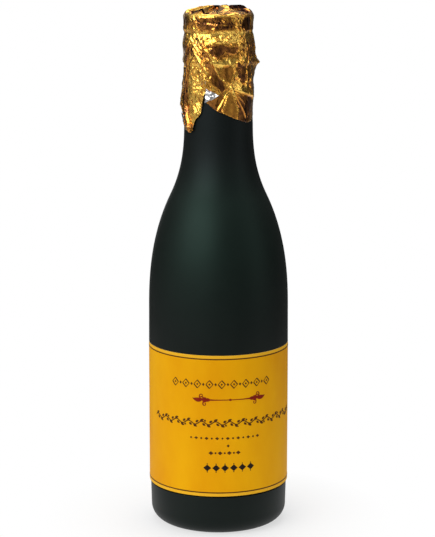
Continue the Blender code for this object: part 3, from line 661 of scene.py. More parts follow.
def bottle_shell(finishes):
    """The moulded bottle."""
    recessed = BODY_RADIUS - LABEL_RECESS
    outline = [
        (recessed, SPLIT_HEIGHT), (recessed, LABEL_TOP + 0.1), (BODY_RADIUS - 0.05, LABEL_TOP + 0.4),
        (BODY_RADIUS, LABEL_TOP + 0.8), *shoulder(26), *((radius, height) for height, radius in NECK_BEADS),
        (LIP_RADIUS, LIP_BOTTOM), (LIP_RADIUS, BOTTLE_TOP - 1.6), (19.4, BOTTLE_TOP - 0.3),
        (18.6, BOTTLE_TOP), (MOUTH_RADIUS + 0.3, BOTTLE_TOP), (MOUTH_RADIUS, BOTTLE_TOP - 0.4),
        (MOUTH_RADIUS, 285), (NECK_RADIUS - WALL, 262),
        *((radius - WALL, height - 0.4 * WALL) for radius, height in reversed(shoulder(12))),
        (LEDGE_RADIUS, BELLY_TOP - 12), (LEDGE_RADIUS, LEDGE_HEIGHT), (SHELL_BORE, LEDGE_HEIGHT),
        *reversed(notch(SHELL_BORE, GROOVE_RADIUS, DECK_BOTTOM - 0.9, 0.9)),
        *reversed(notch(SHELL_BORE, GROOVE_RADIUS, RETAINER_HEIGHT, 1.2)), (SHELL_BORE, SPLIT_HEIGHT),
    ]
    made = turned("bottle", rounded(outline, 0.25), finishes["bottle_plastic"], "bottle")
    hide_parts("bottle_shell")


def base_cup(finishes):
    """The cup that is gripped and turned, with its three screw holes in the punt."""
    corner = (CUP_RADIUS - CUP_CORNER, CUP_CORNER)
    outline = [
        (0, PUNT_HEIGHT), (27.2, PUNT_HEIGHT), (27.9, 5.1), (28.6, 0.6), (29.2, 0),
        *arc(corner, CUP_CORNER, -90, 0, 20),
        (CUP_RIM_RADIUS, 24.7), (CUP_RIM_RADIUS - 0.3, 25), (SPIGOT_RADIUS, 25),
        *notch(SPIGOT_RADIUS, RETAINER_BED, RETAINER_HEIGHT, 1.2),
        (SPIGOT_RADIUS, CUP_TOP - 0.4), (SPIGOT_RADIUS - 0.4, CUP_TOP), (SPIGOT_BORE, CUP_TOP),
        (SPIGOT_BORE, 24.8), (CUP_RIM_RADIUS - CUP_WALL - 0.2, 22.6),
        *arc(corner, CUP_CORNER - CUP_WALL, 0, -90, 10),
        (30.6, 3), (29.6, CUP_FLOOR - 0.6), (29, CUP_FLOOR), (0, CUP_FLOOR),
    ]
    made = turned("twist_base", rounded(outline, 0.25), finishes["bottle_plastic"], "base")
    for i in range(3):
        drill(made, 30 + 120 * i, f"screw_hole_{i + 1}")
    made.data.set_sharp_from_angle(angle=math.radians(35))
    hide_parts("base_cup")


def drill(target, degrees, name):
    """Cuts one screw hole through the cup's floor."""
    shape = bmesh.new()
    size = {"radius1": SCREW_HOLE * MM, "radius2": SCREW_HOLE * MM, "depth": 8 * MM}
    bmesh.ops.create_cone(shape, cap_ends=True, segments=24, **size)
    bmesh.ops.translate(shape, verts=shape.verts, vec=polar(SCREW_CIRCLE, degrees, 7))
    mesh = bpy.data.meshes.new(name)
    shape.to_mesh(mesh)
    shape.free()
    cutter = add_object(name, mesh)
    cut = target.modifiers.new(name, "BOOLEAN")
    cut.operation, cut.solver, cut.object = "DIFFERENCE", "EXACT", cutter
    bpy.context.view_layer.objects.active = target
    bpy.ops.object.modifier_apply(modifier=name)
    bpy.data.objects.remove(cutter)


# Label and its ornaments, drawn in (distance round the label, height)


def label_wrap(finishes):
    """The paper round the bottle. One end laps over the other at the back."""
    stations = np.linspace(-180, 180 + SEAM_OVERLAP, 362)
    heights = np.linspace(LABEL_BOTTOM, LABEL_TOP, 45)
    verts, faces = [], []
    for turn in stations:
        lap = max(0, min(1, (turn - 178) / 2)) * (PAPER_THICKNESS + 0.01)
        for inner in (True, False):
            for z in heights:
                swell = 0.035 * noise.noise(Vector(polar(1500, turn, z * 30)) * 1.4)
                radius = PAPER_INNER + lap + swell * (0.4 if lap else 1)
                radius += 0 if inner else PAPER_THICKNESS
                verts.append(polar(radius, turn, z))
    rows = len(heights)
    for i in range(len(stations) - 1):
        a, b = i * 2 * rows, (i + 1) * 2 * rows
        for k in range(rows - 1):
            faces.append((a + k, b + k, b + k + 1, a + k + 1))
            faces.append((a + rows + k, a + rows + k + 1, b + rows + k + 1, b + rows + k))
        faces.append((a, a + rows, b + rows, b))
        faces.append((a + rows - 1, b + rows - 1, b + 2 * rows - 1, a + 2 * rows - 1))
    for base in (0, (len(stations) - 1) * 2 * rows):
        for k in range(rows - 1):
            faces.append((base + k, base + k + 1, base + rows + k + 1, base + rows + k))
    papers = [finishes["label_paper"], finishes["paper_core"]]
    made = piece("label", verts, faces, papers, "bottle")
    for face in made.data.polygons:
        outward = Vector((face.center.x, face.center.y, 0)).normalized()
        face.material_index = 0 if face.normal.dot(outward) > 0.7 else 1
    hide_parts("wrap_label")


def lozenge(x, z, width, height):
    """A filled diamond, as a path and the half-width at each of its points, like every stroke here."""
    shares = [2 * i / DOT_STEPS - 1 for i in range(DOT_STEPS + 1)]
    return [(x + width / 2 * s, z) for s in shares], [max(FINEST, height / 2 * (1 - abs(s))) for s in shares]


def bead(x, z, radius):
    """A filled dot."""
    shares = [math.cos(math.pi * (1 - i / DOT_STEPS)) for i in range(DOT_STEPS + 1)]
    halves = [max(FINEST, radius * math.sqrt(max(0, 1 - s * s))) for s in shares]
    return [(x + radius * s, z) for s in shares], halves


def grown(x, z, length, degrees, steps, bend, half):
    """A stroke that bends as it grows, by functions of the share along it, and the place past its tip."""
    path, halves = [], []
    angle = math.radians(degrees)
    for share in (i / steps for i in range(steps + 1)):
        path.append((x, z))
        halves.append(half(share))
        x += length / steps * math.cos(angle)
        z += length / steps * math.sin(angle)
        angle += math.radians(bend(share)) / steps
    return (path, halves), (x, z)


def leaf(x, z, length, half_width, degrees, bend=0):
    """A pointed leaf from its stalk at (x, z), curving to one side."""

    def half(share):
        return max(FINEST, half_width * math.sin(math.pi * share**0.8))

    return grown(x, z, length, degrees, 10, lambda share: bend, half)[0]


def tendril(x, z, length, thick, degrees, bend):
    """A stem that tapers from its thick root and curls up towards its tip, with a bead there."""

    def half(share):
        swell = 0.35 + 0.65 * math.sin(math.pi * min(1, 0.2 + 2.4 * share))
        return 0.17 + thick * (1 - share) ** 1.3 * swell

    stem, tip = grown(x, z, length, degrees, 26, lambda share: bend * 2.2 * share**1.2, half)
    return [stem, bead(*tip, 0.42)]


def framed_lozenge(x, z, width, height):
    """A diamond drawn in outline, thicker on two sides, round a small filled one."""
    corners = [(x - width / 2, z), (x, z + height / 2), (x + width / 2, z), (x, z - height / 2)]
    made = [lozenge(x, z, width * 0.3, height * 0.3)]
    for i, thick in enumerate((0.20, 0.34, 0.20, 0.34)):
        made.append(([corners[i], corners[(i + 1) % 4]], [thick, thick]))
    return made


def scroll(x, z, side):
    """A leafy scroll at one end of the rule. Side is 1 for the right end and -1 for the left."""
    out = 90 - side * 90
    strokes = tendril(x, z + 0.1, 8.8, 1.5, out + side * 2, side * 330)
    strokes += tendril(x + side * 0.4, z - 0.1, 5.8, 1.2, out - side * 42, -side * 270)
    strokes += tendril(x + side * 1.2, z + 0.3, 4.4, 1, out + side * 60, -side * 250)
    strokes.append(leaf(x + side * 2.2, z + 0.2, 6.6, 1.3, out - side * 14, side * 44))
    strokes.append(leaf(x - side * 2.8, z, 4.6, 1.1, out))
    return strokes


def divider(left, right, z):
    """The rule with a leafy scroll at each end."""
    low, high = left + 9, right - 9
    shares = [i / 40 for i in range(41)]
    path = [(low + (high - low) * s, z) for s in shares]
    halves = [0.24 + 0.36 * abs(2 * s - 1) ** 3 for s in shares]
    strokes = [(path, halves), lozenge((left + right) / 2, z, 3, 1.5)]
    return strokes + scroll(low, z, -1) + scroll(high, z, 1)


def vine(left, right, z, pitch, height):
    """A running stem with two leaves in each bend and a berry after every third."""
    count = round((right - left) / pitch)
    shares = [i / (count * 10) for i in range(count * 10 + 1)]
    path = [(left + (right - left) * s, z + height * 0.20 * math.sin(math.pi * count * s)) for s in shares]
    strokes = [(path, [0.30] * len(path))]
    for k in range(count):
        up = 1 if k % 2 == 0 else -1
        x = left + (right - left) * (k + 0.5) / count
        strokes.append(leaf(x - 0.9, z + up * height * 0.12, height * 0.60, 0.85, up * 64, -up * 56))
        strokes.append(leaf(x + 0.5, z - up * height * 0.02, height * 0.48, 0.72, -up * 58, up * 44))
        if k % 3 == 2:
            strokes.append(bead(x + pitch * 0.45, z + up * height * 0.30, 0.6))
    return strokes


def round_label(degrees):
    """Distance round the label at an angle."""
    return math.radians(degrees) * BODY_RADIUS


def spread(first, last, count):
    """Evenly spaced distances round the label between two angles."""
    return [round_label(first + (last - first) * i / (count - 1)) for i in range(count)]


def brown_strokes():
    """Border lines, the row at the top, the vine and the small marks under it."""
    strokes = []
    for z in (LABEL_TOP - BORDER_INSET, LABEL_BOTTOM + BORDER_INSET):
        line = [(x, z) for x in spread(-176.5, 176.5, 360)]
        strokes.append((line, [BORDER_WIDTH / 2] * len(line)))
    for i, x in enumerate(spread(-46.5, 33, 17)):
        strokes += [lozenge(x, TOP_ROW, 1.5, 2)] if i % 2 else framed_lozenge(x, TOP_ROW, 4.3, 5)
    strokes += vine(round_label(-71), round_label(70.5), VINE_ROW, 4.3, 4.9)
    for i, x in enumerate(spread(-32, 24, 14)):
        strokes.append(lozenge(x, DOT_ROW, 2.4, 1.9) if i % 2 else bead(x, DOT_ROW, 0.6))
    strokes.append(lozenge(round_label(-1.6), MARK_ROW, 1.8, 2))
    for i, x in enumerate(spread(-15.5, 6.8, 7)):
        strokes.append(bead(x, SMALL_ROW, 0.6) if i % 2 else lozenge(x, SMALL_ROW, 3, 2.4))
    return strokes


def black_strokes():
    """The heavy row at the foot of the print."""
    strokes = []
    places = spread(-18.5, 17.5, 6)
    for x in places:
        strokes.append(lozenge(x, FOOT_ROW, 4.7, 4.2))
        strokes += [bead(x, FOOT_ROW + 2.5 * side, 0.36) for side in (1, -1)]
    return strokes + [([(places[0], FOOT_ROW), (places[-1], FOOT_ROW)], [0.24, 0.24])]


def print_ink(name, strokes, finishes, material):
    """Thin closed shapes on the paper for a list of strokes."""
    verts, faces = [], []
    # Above and below the paper's surface wherever it swells
    top, bottom = PAPER_OUTER + 0.05 + INK_HEIGHT, PAPER_OUTER - 0.06
    for path, halves in strokes:
        start = len(verts)
        for i, (x, z) in enumerate(path):
            before, after = path[max(0, i - 1)], path[min(len(path) - 1, i + 1)]
            along = Vector((after[0] - before[0], after[1] - before[1])).normalized()
            for side in (1, -1):
                u = x - side * along.y * halves[i]
                v = z + side * along.x * halves[i]
                turn = math.degrees(u / BODY_RADIUS)
                verts += [polar(top, turn, v), polar(bottom, turn, v)]
        for i in range(len(path) - 1):
            a, b = start + 4 * i, start + 4 * (i + 1)
            for p, q in ((0, 2), (2, 3), (3, 1), (1, 0)):
                faces.append((a + p, b + p, b + q, a + q))
        last = start + 4 * (len(path) - 1)
        faces += [(start, start + 2, start + 3, start + 1), (last, last + 1, last + 3, last + 2)]
    piece(name, verts, faces, [finishes[material]], "bottle")


def label(finishes):
    """The label with its print."""
    label_wrap(finishes)
    rule = divider(round_label(-31.4), round_label(31.8), RULE_ROW)
    print_ink("print_brown", brown_strokes(), finishes, "brown_ink")
    print_ink("print_red", rule, finishes, "red_ink")
    print_ink("print_black", black_strokes(), finishes, "black_ink")


# Foil


def sheet_x(turn):
    """Distance round the flat sheet at an angle from the foil's front."""
    return (turn + 180) / 360 * SHEET_WIDTH


def sheet_turn(x):
    """Angle from the foil's front at a distance round the flat sheet."""
    return x / SHEET_WIDTH * 360 - 180


def foil_places(radius, turn, z):
    """Points on the foil, in metres, from angles that run from its front."""
    return [polar(r, t + FOIL_FRONT, h) for r, t, h in zip(np.ravel(radius), np.ravel(turn), np.ravel(z))]


def facets(seed, wide, tall, slant, x, z):
    """Relief of crumpled facets that meet in straight folds, from about -0.5 to 0.5."""
    columns = round(SHEET_WIDTH / wide)
    cells = np.random.default_rng(seed).random((columns, 97, 5))
    u, v = (x + slant * z) * columns / SHEET_WIDTH, (z - 200) / tall
    i, k = np.floor(u).astype(int), np.floor(v).astype(int)
    best = np.full(np.shape(u), -9.0)
    for di in (-1, 0, 1):
        for dk in (-1, 0, 1):
            cell = cells[(i + di) % columns, (k + dk) % 97]
            du, dv = u - i - di - cell[..., 0], v - k - dk - cell[..., 1]
            plane = 0.5 * cell[..., 2] + 0.9 * ((cell[..., 3] - 0.5) * du + (cell[..., 4] - 0.5) * dv)
            best = np.maximum(best, plane - 0.55 * (du**2 + dv**2))
    return best - 0.15


def inside(x, z, corners):
    """True inside a polygon of angles and heights."""
    result = np.zeros(np.shape(x), bool)
    for (a, low), (b, high) in zip(corners, corners[1:] + corners[:1]):
        if low != high:
            crossing = sheet_x(a) + (z - low) * (sheet_x(b) - sheet_x(a)) / (high - low)
            result ^= ((low > z) != (high > z)) & (x < crossing)
    return result


def patch(x, z, turn, height, wide, tall):
    """How much a place belongs to a soft-edged patch, from 0 to 1."""
    return np.exp(-((((x - sheet_x(turn)) / wide) ** 2 + ((z - height) / tall) ** 2) ** 1.5))


def folds(lines, x, z):
    """Relief of sharp folds, each with its own width to the left and to the right."""
    total = np.zeros(np.shape(x))
    for (a, low), (b, high), relief, left, right in lines:
        ux, uz = (b - a) * SHEET_WIDTH / 360, high - low
        px = (x - sheet_x(a) + SHEET_WIDTH / 2) % SHEET_WIDTH - SHEET_WIDTH / 2
        along = (px * ux + (z - low) * uz) / (ux**2 + uz**2)
        side = ((z - low) * ux - px * uz) / math.hypot(ux, uz)
        across = np.clip(1 - np.maximum(side / left, -side / right), 0, 1)
        ends = np.clip(8 * np.minimum(along, 1 - along) + 0.3, 0, 1) * (abs(along - 0.5) < 0.54)
        total += relief * across * ends
    return total


def random_folds(seed, count):
    """Short folds all over the sheet, mostly upright."""
    rng = random.Random(seed)
    made = []
    for _ in range(count):
        turn, height, length = rng.uniform(-180, 180), rng.uniform(248, 308), rng.uniform(3, 13)
        lean = math.radians(rng.gauss(8, 40))
        across, up = length * math.sin(lean) * 360 / SHEET_WIDTH, length * math.cos(lean)
        end = (turn + across, min(height + up, 314))
        relief = rng.choice((1, 1, -1)) * rng.uniform(0.15, 0.45)
        made.append(((turn, height), end, relief, rng.uniform(0.6, 1.8), rng.uniform(0.6, 1.8)))
    return made


def smooth_parts(x, z):
    """Weight, tone and lean of the smooth facets, with soft and uneven borders. Their tone is a painted
    reflection.
    """
    weight, tone, lean = (np.zeros(np.shape(x)) for _ in range(3))
    u, v = x + 2.4 * facets(61, 4.2, 4.2, 0.1, x, z), z - 1.8 * facets(62, 3.6, 3.6, -0.1, x, z)
    steps = [(0, 0), (0.45, 0), (-0.45, 0), (0, 0.45), (0, -0.45)]
    for shade, slope, corners in FLATS:
        here = sum(inside(u + a, v + b, corners) for a, b in steps) / len(steps)
        weight += here
        tone += here * shade
        lean += here * slope * (z - sum(corner[1] for corner in corners) / len(corners))
    return np.minimum(weight, 1), tone / np.maximum(weight, 0.01), lean


def side_relief(x, z):
    """Radius, tone and wrinkling over the sheet's side, from places in mm on the flat sheet."""
    smooth, shade, lean = smooth_parts(x, z)
    calm = 1 - 0.86 * smooth
    lines = random_folds(21, 150)
    sharp = folds(CREASES, x, z)
    fine = np.full(np.shape(x), 0.55)
    for turn, height, wide, tall, more in WRINKLED:
        fine += more * patch(x, z, turn, height, wide, tall)
    fine *= calm
    # Large facets, smaller ones and wrinkles, then the creases and the short folds
    radius = between(FOIL_OUTLINE, z) + 0.35 + lean
    radius += (0.1 + 0.9 * calm) * 1.3 * facets(3, 9, 12, 0.2, x, z)
    radius -= calm * 0.85 * facets(5, 4.2, 5.6, -0.15, x, z)
    radius -= fine * (0.50 * facets(8, 1.7, 3, 0.55, x, z) + 0.16 * facets(13, 0.95, 1.5, -0.35, x, z))
    radius += sharp + calm * folds(lines, x, z)
    # The ear at the right, the bulges at the rolled fold and the knot, and the edge drawn in at the right
    reach = np.hypot((x - sheet_x(88)) / 4, (z - 286) / 5.6)
    radius += 4.4 * np.exp(-1.7 * reach) + 1.2 * patch(x, z, -79, 263, 5.2, 8)
    radius += 0.9 * patch(x, z, *KNOT, 2.2, 2.2) - 1.6 * patch(x, z, 84, 254, 13, 9)
    # Flatter towards the rim, where the gathered top begins
    rim = np.clip((BOTTLE_TOP - z) / 1.2, 0, 1)
    radius = RIM_RADIUS + (radius - RIM_RADIUS) * (0.25 + 0.75 * rim)
    tone = 0.56 + 0.30 * facets(71, 5, 7, 0.25, x, z) + 0.45 * facets(72, 1.3, 1.7, -0.1, x, z)
    # Painted highlights, reflections and shade, in soft patches
    for turn, height, wide, tall, change in PAINTED_LIGHT_AND_SHADE:
        tone += change * patch(x, z, turn, height, wide, tall)
    shade = shade + 0.2 * facets(73, 3, 3, 0, x, z)
    # Creases are lighter along their crests: partly worn lacquer, partly a painted highlight
    tone = tone * (1 - smooth) + shade * smooth + 0.46 * np.clip(sharp, 0, 1)
    return np.maximum(radius, between(NECK_OUTLINE, z) + 0.22), tone, fine


def worn_and_highlit_folds(radius, z, tone):
    """A light tone wherever the sheet leans up: partly lacquer lying thin, partly a painted highlight on the
    facets that face up.
    """
    rise = np.gradient(radius, axis=0) / np.gradient(z, axis=0)
    return np.maximum(tone, 0.62 * np.clip((-rise - 0.14) / 0.14, 0, 1))


def hollow_weight(hollow, x, y):
    """How deep a place lies in a gap between two gathers, from 0 to 1."""
    angle, middle, long, wide, _ = hollow
    ux, uy = math.sin(math.radians(angle)), -math.cos(math.radians(angle))
    along, across = (x - ux * middle) * ux + (y - uy * middle) * uy, x * uy - y * ux
    return np.exp(-((along / long) ** 4) - (across / wide) ** 4)


def pleats(turn, radius):
    """Uneven gathers, each with one steep side, twisted a little towards the middle."""
    around = (turn + PLEAT_TWIST * (1 - radius / RIM_RADIUS)) % 360
    starts, sizes = np.array(PLEATS).T
    k = np.searchsorted(starts, around, "right") - 1
    share = ((around - starts[k]) % 360) / ((np.roll(starts, -1) - starts)[k] % 360)
    return sizes[k] * np.minimum(share / 0.82, (1 - share) / 0.18)


def crown_relief(turn, radius):
    """Height, tone and wrinkling of the gathered top."""
    x, y = radius * np.sin(np.radians(turn)), -radius * np.cos(np.radians(turn))
    spot = (x + 60, y + 260)
    window = np.clip((20.6 - radius) / 2, 0, 1) * np.clip(radius / 4, 0.15, 1)
    height = np.interp(radius, CROWN_RADII, CROWN_HEIGHTS) + window * (pleats(turn, radius) - 0.55) * 1.9
    height -= window * (0.9 * facets(31, 4.5, 4.5, 0, *spot) + 0.45 * facets(32, 2, 2, 0, *spot))
    tone = 0.42 + 0.6 * facets(33, 2.5, 2.5, 0, *spot)
    # Painted highlights on gathers, and painted shade where the change is below 0
    for place_x, place_y, size, more in PAINTED_GLEAMS_AND_SHADE:
        tone += more * np.exp(-((x - place_x) ** 2 + (y - place_y) ** 2) / size**2)
    fine = np.full(np.shape(tone), 0.7)
    for hollow in HOLLOWS:
        deep = hollow_weight(hollow, x, y)
        height -= hollow[4] * deep
        # Painted shade deep in each fold: tone, and wrinkling too, fall towards 0 there
        tone, fine = (value * np.clip(1 - 3 * deep, 0, 1) for value in (tone, fine))
    return np.minimum(height, FOIL_PEAK), tone, fine


def neck_foil(finishes):
    """One crumpled sheet round the neck and gathered over the mouth."""
    columns, rows, rings = 400, 180, 36
    rng = np.random.default_rng(40)
    loose = rng.uniform(-0.08, 0.08, (2, rows, columns))
    x = np.tile(np.arange(columns) * SHEET_WIDTH / columns, (rows, 1))
    low = between(wrapped_edge(), sheet_turn(x[0])) + rng.uniform(-0.2, 0.2, columns)
    z = low + (BOTTLE_TOP - low) * np.linspace(0, 1, rows)[:, None]
    x[:-1] += loose[0][:-1]
    z[1:-1] += loose[1][1:-1]
    radius, tone, fine = side_relief(x % SHEET_WIDTH, z)
    side = (radius, sheet_turn(x), z, worn_and_highlit_folds(radius, z, tone), fine)
    turn = np.tile(sheet_turn(x)[-1], (rings, 1)) + rng.uniform(-0.3, 0.3, (rings, columns))
    radius = RIM_RADIUS * (1 - np.linspace(0, 1, rings + 1)[1:, None] ** 0.9) + 0.02 + 0 * turn
    crown = (radius, turn, *crown_relief(turn, radius))
    radius, turn, z, tone, fine = (np.concatenate(parts) for parts in zip(side, crown))
    verts = foil_places(radius, turn, z)
    out = np.where(np.arange(rows + rings)[:, None] < rows, radius, z).ravel()
    faces = []
    for i in range(rows + rings - 1):
        for k in range(columns):
            a, b = i * columns + k, i * columns + (k + 1) % columns
            c, d = a + columns, b + columns
            ridge = out[a] + out[d] > out[b] + out[c]
            faces += [(a, b, d), (a, d, c)] if ridge else [(a, b, c), (b, d, c)]
    sides = [finishes["gold_foil"], finishes["silver_foil"]]
    made = sheet_piece("foil", verts, faces, sides, tone, fine)
    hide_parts("neck_foil")


def wrapped_edge():
    """The torn edge's table once round, from -180 to 180 degrees."""
    around = sorted((a + whole, z) for whole in (-360, 0) for a, z in FOIL_EDGE)
    seam = float(between(around, -180))
    return [(-180, seam)] + [(a, z) for a, z in around if -180 < a < 180] + [(180, seam)]


def sheet_piece(name, verts, faces, materials, tone, fine, offset=-1):
    """A thin sheet with its bare side inwards, and its tone and wrinkling at each point."""
    made = piece(name, verts, faces, materials, "bottle", 40, False)
    carry(made, "tone", tone)
    carry(made, "wrinkling", fine)
    sheet = made.modifiers.new("sheet", "SOLIDIFY")
    sheet.thickness = FOIL_THICKNESS * MM
    sheet.offset = offset
    sheet.material_offset = 1
    sheet.material_offset_rim = 1
    return made


def carry(made, name, values):
    """Keeps a value at each point of a piece for its material."""
    layer = made.data.attributes.new(name, "FLOAT", "POINT")
    layer.data.foreach_set("value", np.ravel(values).astype(float))


def rolled_edge(finishes):
    """The rolled fold down the left side, which ends in a small crushed knob."""
    stations, sides = 90, 20
    share = np.linspace(0, len(ROLL) - 1, stations)
    columns = zip(*ROLL)
    turn, height, wide, deep = (np.interp(share, range(len(ROLL)), column)[:, None] for column in columns)
    angle = np.linspace(0, math.tau, sides, endpoint=False)[None, :]
    x, z = sheet_x(turn) + wide * np.cos(angle), height + 0 * angle
    spot = (x + 3 * np.sin(angle), z)
    crumple = facets(51, 1.8, 9, 0, *spot) + 0.4 * facets(52, 1, 5, 0, *spot)
    turn = sheet_turn(x + crumple * 0.5 * np.cos(angle))
    rise = np.where(angle < math.pi, abs(np.sin(angle)) ** 1.6, 0.3 * np.sin(angle))
    radius = between(FOIL_OUTLINE, height) + 0.45 + (1.2 * deep + 0.35 * crumple) * rise
    verts, faces = foil_places(radius, turn, z), tube_faces(stations, sides)
    made = piece("foil_roll", verts, faces, [finishes["gold_foil"]], "bottle", 16)
    # A low tone, a painted dark reflection, lighter where the crumples stand out and towards the knob
    tone = 0.21 + 0.5 * crumple + 0.33 * np.clip((250 - z) / 3, 0, 1)
    carry(made, "tone", tone)
    carry(made, "wrinkling", 0.3 + 0 * tone)


def turned_corner(name, corners, lift, finishes, steps=22):
    """A corner of the sheet folded over, with its bare side out."""
    a, b, c = np.array(corners, float)
    rows, places, faces = [], [], []
    for i in range(steps + 1):
        count = steps + 1 - i
        rows.append(range(len(places), len(places) + count))
        places += [a + (b - a) * i / steps + (c - a) * k / steps for k in range(count)]
    for low, high in zip(rows, rows[1:]):
        for k in range(len(high)):
            faces.append((low[k], low[k + 1], high[k]))
            if k + 1 < len(high):
                faces.append((low[k + 1], high[k + 1], high[k]))
    turn, z = np.array(places).T
    x = sheet_x(turn)
    wander = facets(81, 1.6, 1.6, 0.2, x, z)
    x, z = x + 0.9 * wander, z + 0.7 * facets(82, 1.9, 1.6, 0, x, z)
    radius = side_relief(x, z)[0] + lift - 0.7 * wander - 0.5 * facets(83, 2.8, 3.4, 0.3, x, z)
    verts = foil_places(radius, sheet_turn(x), z)
    sides = [finishes["silver_foil"], finishes["gold_foil"]]
    sheet_piece(name, verts, faces, sides, 0.6 + 0 * x, 1 + 0 * x, 0)


def foil(finishes):
    """Everything of foil."""
    neck_foil(finishes)
    rolled_edge(finishes)
    turned_corner("foil_corner", [(-20.5, 272.2), (1.6, 267.8), (-22, 263.6)], 0.45, finishes)
    turned_corner("foil_tip", [(-84, 256), (-68, 255), (-66, 248)], 0.3, finishes, 12)


# Valve spring


def valve_spring(finishes):
    """The compression spring, its turns closer together at both ends."""
    steps, sides = SPRING_TURNS * 40, 12
    path = []
    for i in range(steps + 1):
        share = i / steps
        climb = share - 0.6 * math.sin(math.tau * share) / math.tau
        height = SPRING_LOW + (SPRING_HIGH - SPRING_LOW) * climb
        path.append(Vector(polar(SPRING_RADIUS, 360 * SPRING_TURNS * share, height)))
    verts = []
    for i, point in enumerate(path):
        along = (path[min(i + 1, steps)] - path[max(i - 1, 0)]).normalized()
        out = Vector((point.x, point.y, 0)).normalized()
        up = along.cross(out).normalized()
        for k in range(sides):
            angle = math.tau * k / sides
            around = out * math.cos(angle) + up * math.sin(angle)
            verts.append(tuple(point + around * SPRING_WIRE * MM))
    faces = tube_faces(steps + 1, sides)
    made = piece("spring_coil", verts, faces, [finishes["spring_steel"]], "bottle")
    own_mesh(made)
    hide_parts("valve_spring")


# Pieces that keep their solids


def dress_nodes(frame, finishes):
    """Gives every solid the finish of its slot in the record."""
    for part in frame["record"]["subparts"]:
        for slot in frame["nodes"][part["node"]].material_slots:
            slot.material = finishes[part["material_slot"]]


# Stage


def floor():
    """A round pale floor that keeps the bottle's shadow."""
    steps = 96
    turns = [math.tau * k / steps for k in range(steps)]
    verts = [(0, 0, FLOOR_LEVEL)]
    verts += [(FLOOR_RADIUS * math.cos(t), FLOOR_RADIUS * math.sin(t), FLOOR_LEVEL) for t in turns]
    faces = [(0, 1 + k, 1 + (k + 1) % steps) for k in range(steps)]
    mesh = bpy.data.meshes.new("floor")
    mesh.from_pydata(verts, [], faces)
    mesh.materials.append(floor_material())
    made = add_object("floor", mesh)
    made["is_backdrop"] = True


def ray_kinds(tree):
    """Whether a ray is the camera's, and whether a mirroring or clear surface sent it on."""
    path = node(tree, "ShaderNodeLightPath").outputs
    sent_on = math_node("MAXIMUM", path["Is Glossy Ray"], path["Is Transmission Ray"])
    return path["Is Camera Ray"], sent_on


def floor_material():
    """White card. Away from the bottle it is as white as the backdrop, and near it it keeps the shadow."""
    made, place = new_material("floor")
    tree = made.node_tree
    tooth = grain(place, 300, 3)
    colour = ramp(tooth, [(0.3, (0.92, 0.92, 0.92)), (0.7, (0.95, 0.95, 0.95))])
    finish(made, Base_Color=colour, Roughness=0.9, Specular_IOR_Level=0.1)
    away = node(tree, "ShaderNodeVectorMath", {0: place}, operation="LENGTH").outputs["Value"]
    seen = math_node("MAXIMUM", *ray_kinds(tree))
    share = math_node("MULTIPLY", seen, remap(away, 0.62, 1, 0.04, 0.11))
    card = tree.nodes["Principled BSDF"].outputs[0]
    white = node(tree, "ShaderNodeEmission", {"Color": rgb((1, 1, 1)), "Strength": 1}).outputs[0]
    both = node(tree, "ShaderNodeMixShader", {0: share, 1: card, 2: white})
    connect(tree.nodes["Material Output"].inputs["Surface"], both.outputs[0])
    return made


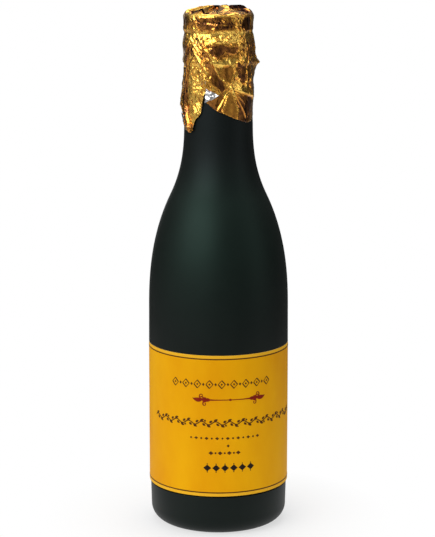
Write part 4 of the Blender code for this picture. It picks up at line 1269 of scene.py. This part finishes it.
def world():
    """White backdrop. The studio in front of it is dim, and lights softly from all round."""
    made = bpy.data.worlds.new("studio")
    bpy.context.scene.world = made
    made.use_nodes = True
    tree = made.node_tree
    tree.nodes.clear()
    direction = node(tree, "ShaderNodeTexCoord").outputs["Generated"]
    right, back, up = separate(direction)
    front = remap(back, 0.26, 0.08, -1, 0.4)
    left = math_node(
        "MULTIPLY", remap(right, 0.42, 0, -0.95, -0.1), remap(back, 1, 0.2, 0.2, 0.6),
        remap(up, 0.2, 1, -0.50, -0.24),
    )
    below, above = remap(up, 0.40, 0, -0.45, -0.27), remap(up, 0, 0.40, 0.18, 0.70)
    room = math_node("ADD", math_node("ADD", front, left), math_node("ADD", above, below))
    clutter = remap(grain(direction, 4.5, 2, 0.5), 0.10, 2.1, 0.38, 0.66)
    backdrop = remap(back, 0, 0.9, 0.96, 0.99)
    mirrored = math_node("ADD", math_node("MULTIPLY", room, clutter), backdrop)
    camera_ray, sent_on = ray_kinds(tree)
    plain = math_node("MULTIPLY", math_node("SUBTRACT", 1, sent_on), AMBIENT)
    strength = math_node("ADD", math_node("MULTIPLY", sent_on, mirrored), plain)
    strength = math_node("MAXIMUM", strength, camera_ray)
    shown = node(tree, "ShaderNodeBackground", {"Color": rgb((1, 1, 1)), "Strength": strength})
    node(tree, "ShaderNodeOutputWorld", {"Surface": shown.outputs[0]})


def area_light(name, place, target, size, power):
    """A soft rectangular lamp aimed at a point. Places are in metres."""
    data = bpy.data.lights.new(name, "AREA")
    data.shape = "RECTANGLE"
    data.size, data.size_y = size
    data.energy = power
    made = add_object(name, data)
    made.location = place
    made.rotation_euler = (Vector(target) - Vector(place)).to_track_quat("-Z", "Y").to_euler()


def lights():
    """A broad key from the left in front, a weak upright fill from the right and a top light."""
    area_light("key", (-0.93, -0.80, 0.80), (0, 0, 0.18), (1.4, 0.60), 13)
    area_light("fill", (1.10, -0.62, 0.45), (0, 0, 0.16), (0.30, 0.90), 1.4)
    area_light("top", (0.05, 0.25, 1.25), (0, 0, 0.2), (0.7, 0.7), 5)


def camera():
    """The photograph's camera."""
    data = bpy.data.cameras.new("camera")
    data.lens = CAMERA_LENS
    data.sensor_width = 36
    data.clip_start, data.clip_end = 0.05, 50
    made = add_object("camera", data)
    made.location = polar(CAMERA_DISTANCE, CAMERA_AZIMUTH, CAMERA_HEIGHT)
    made.rotation_euler = (math.pi / 2 - CAMERA_PITCH, 0, math.radians(CAMERA_AZIMUTH) + AXIS_OFFSET)
    bpy.context.scene.camera = made
    bpy.context.scene.view_settings.view_transform = "Standard"


def corners(box):
    """The two corners of a box, as lists."""
    return [list(box[0]), list(box[1])]


def main():
    """Builds the scene, and works out its box beside the solids' own, which it does not keep."""
    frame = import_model()
    solid_box = corners(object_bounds())
    finishes = make_materials()
    bottle_shell(finishes)
    base_cup(finishes)
    label(finishes)
    foil(finishes)
    valve_spring(finishes)
    dress_nodes(frame, finishes)
    floor()
    world()
    lights()
    camera()
    {"solids": solid_box, "looks": corners(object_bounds())}


main()
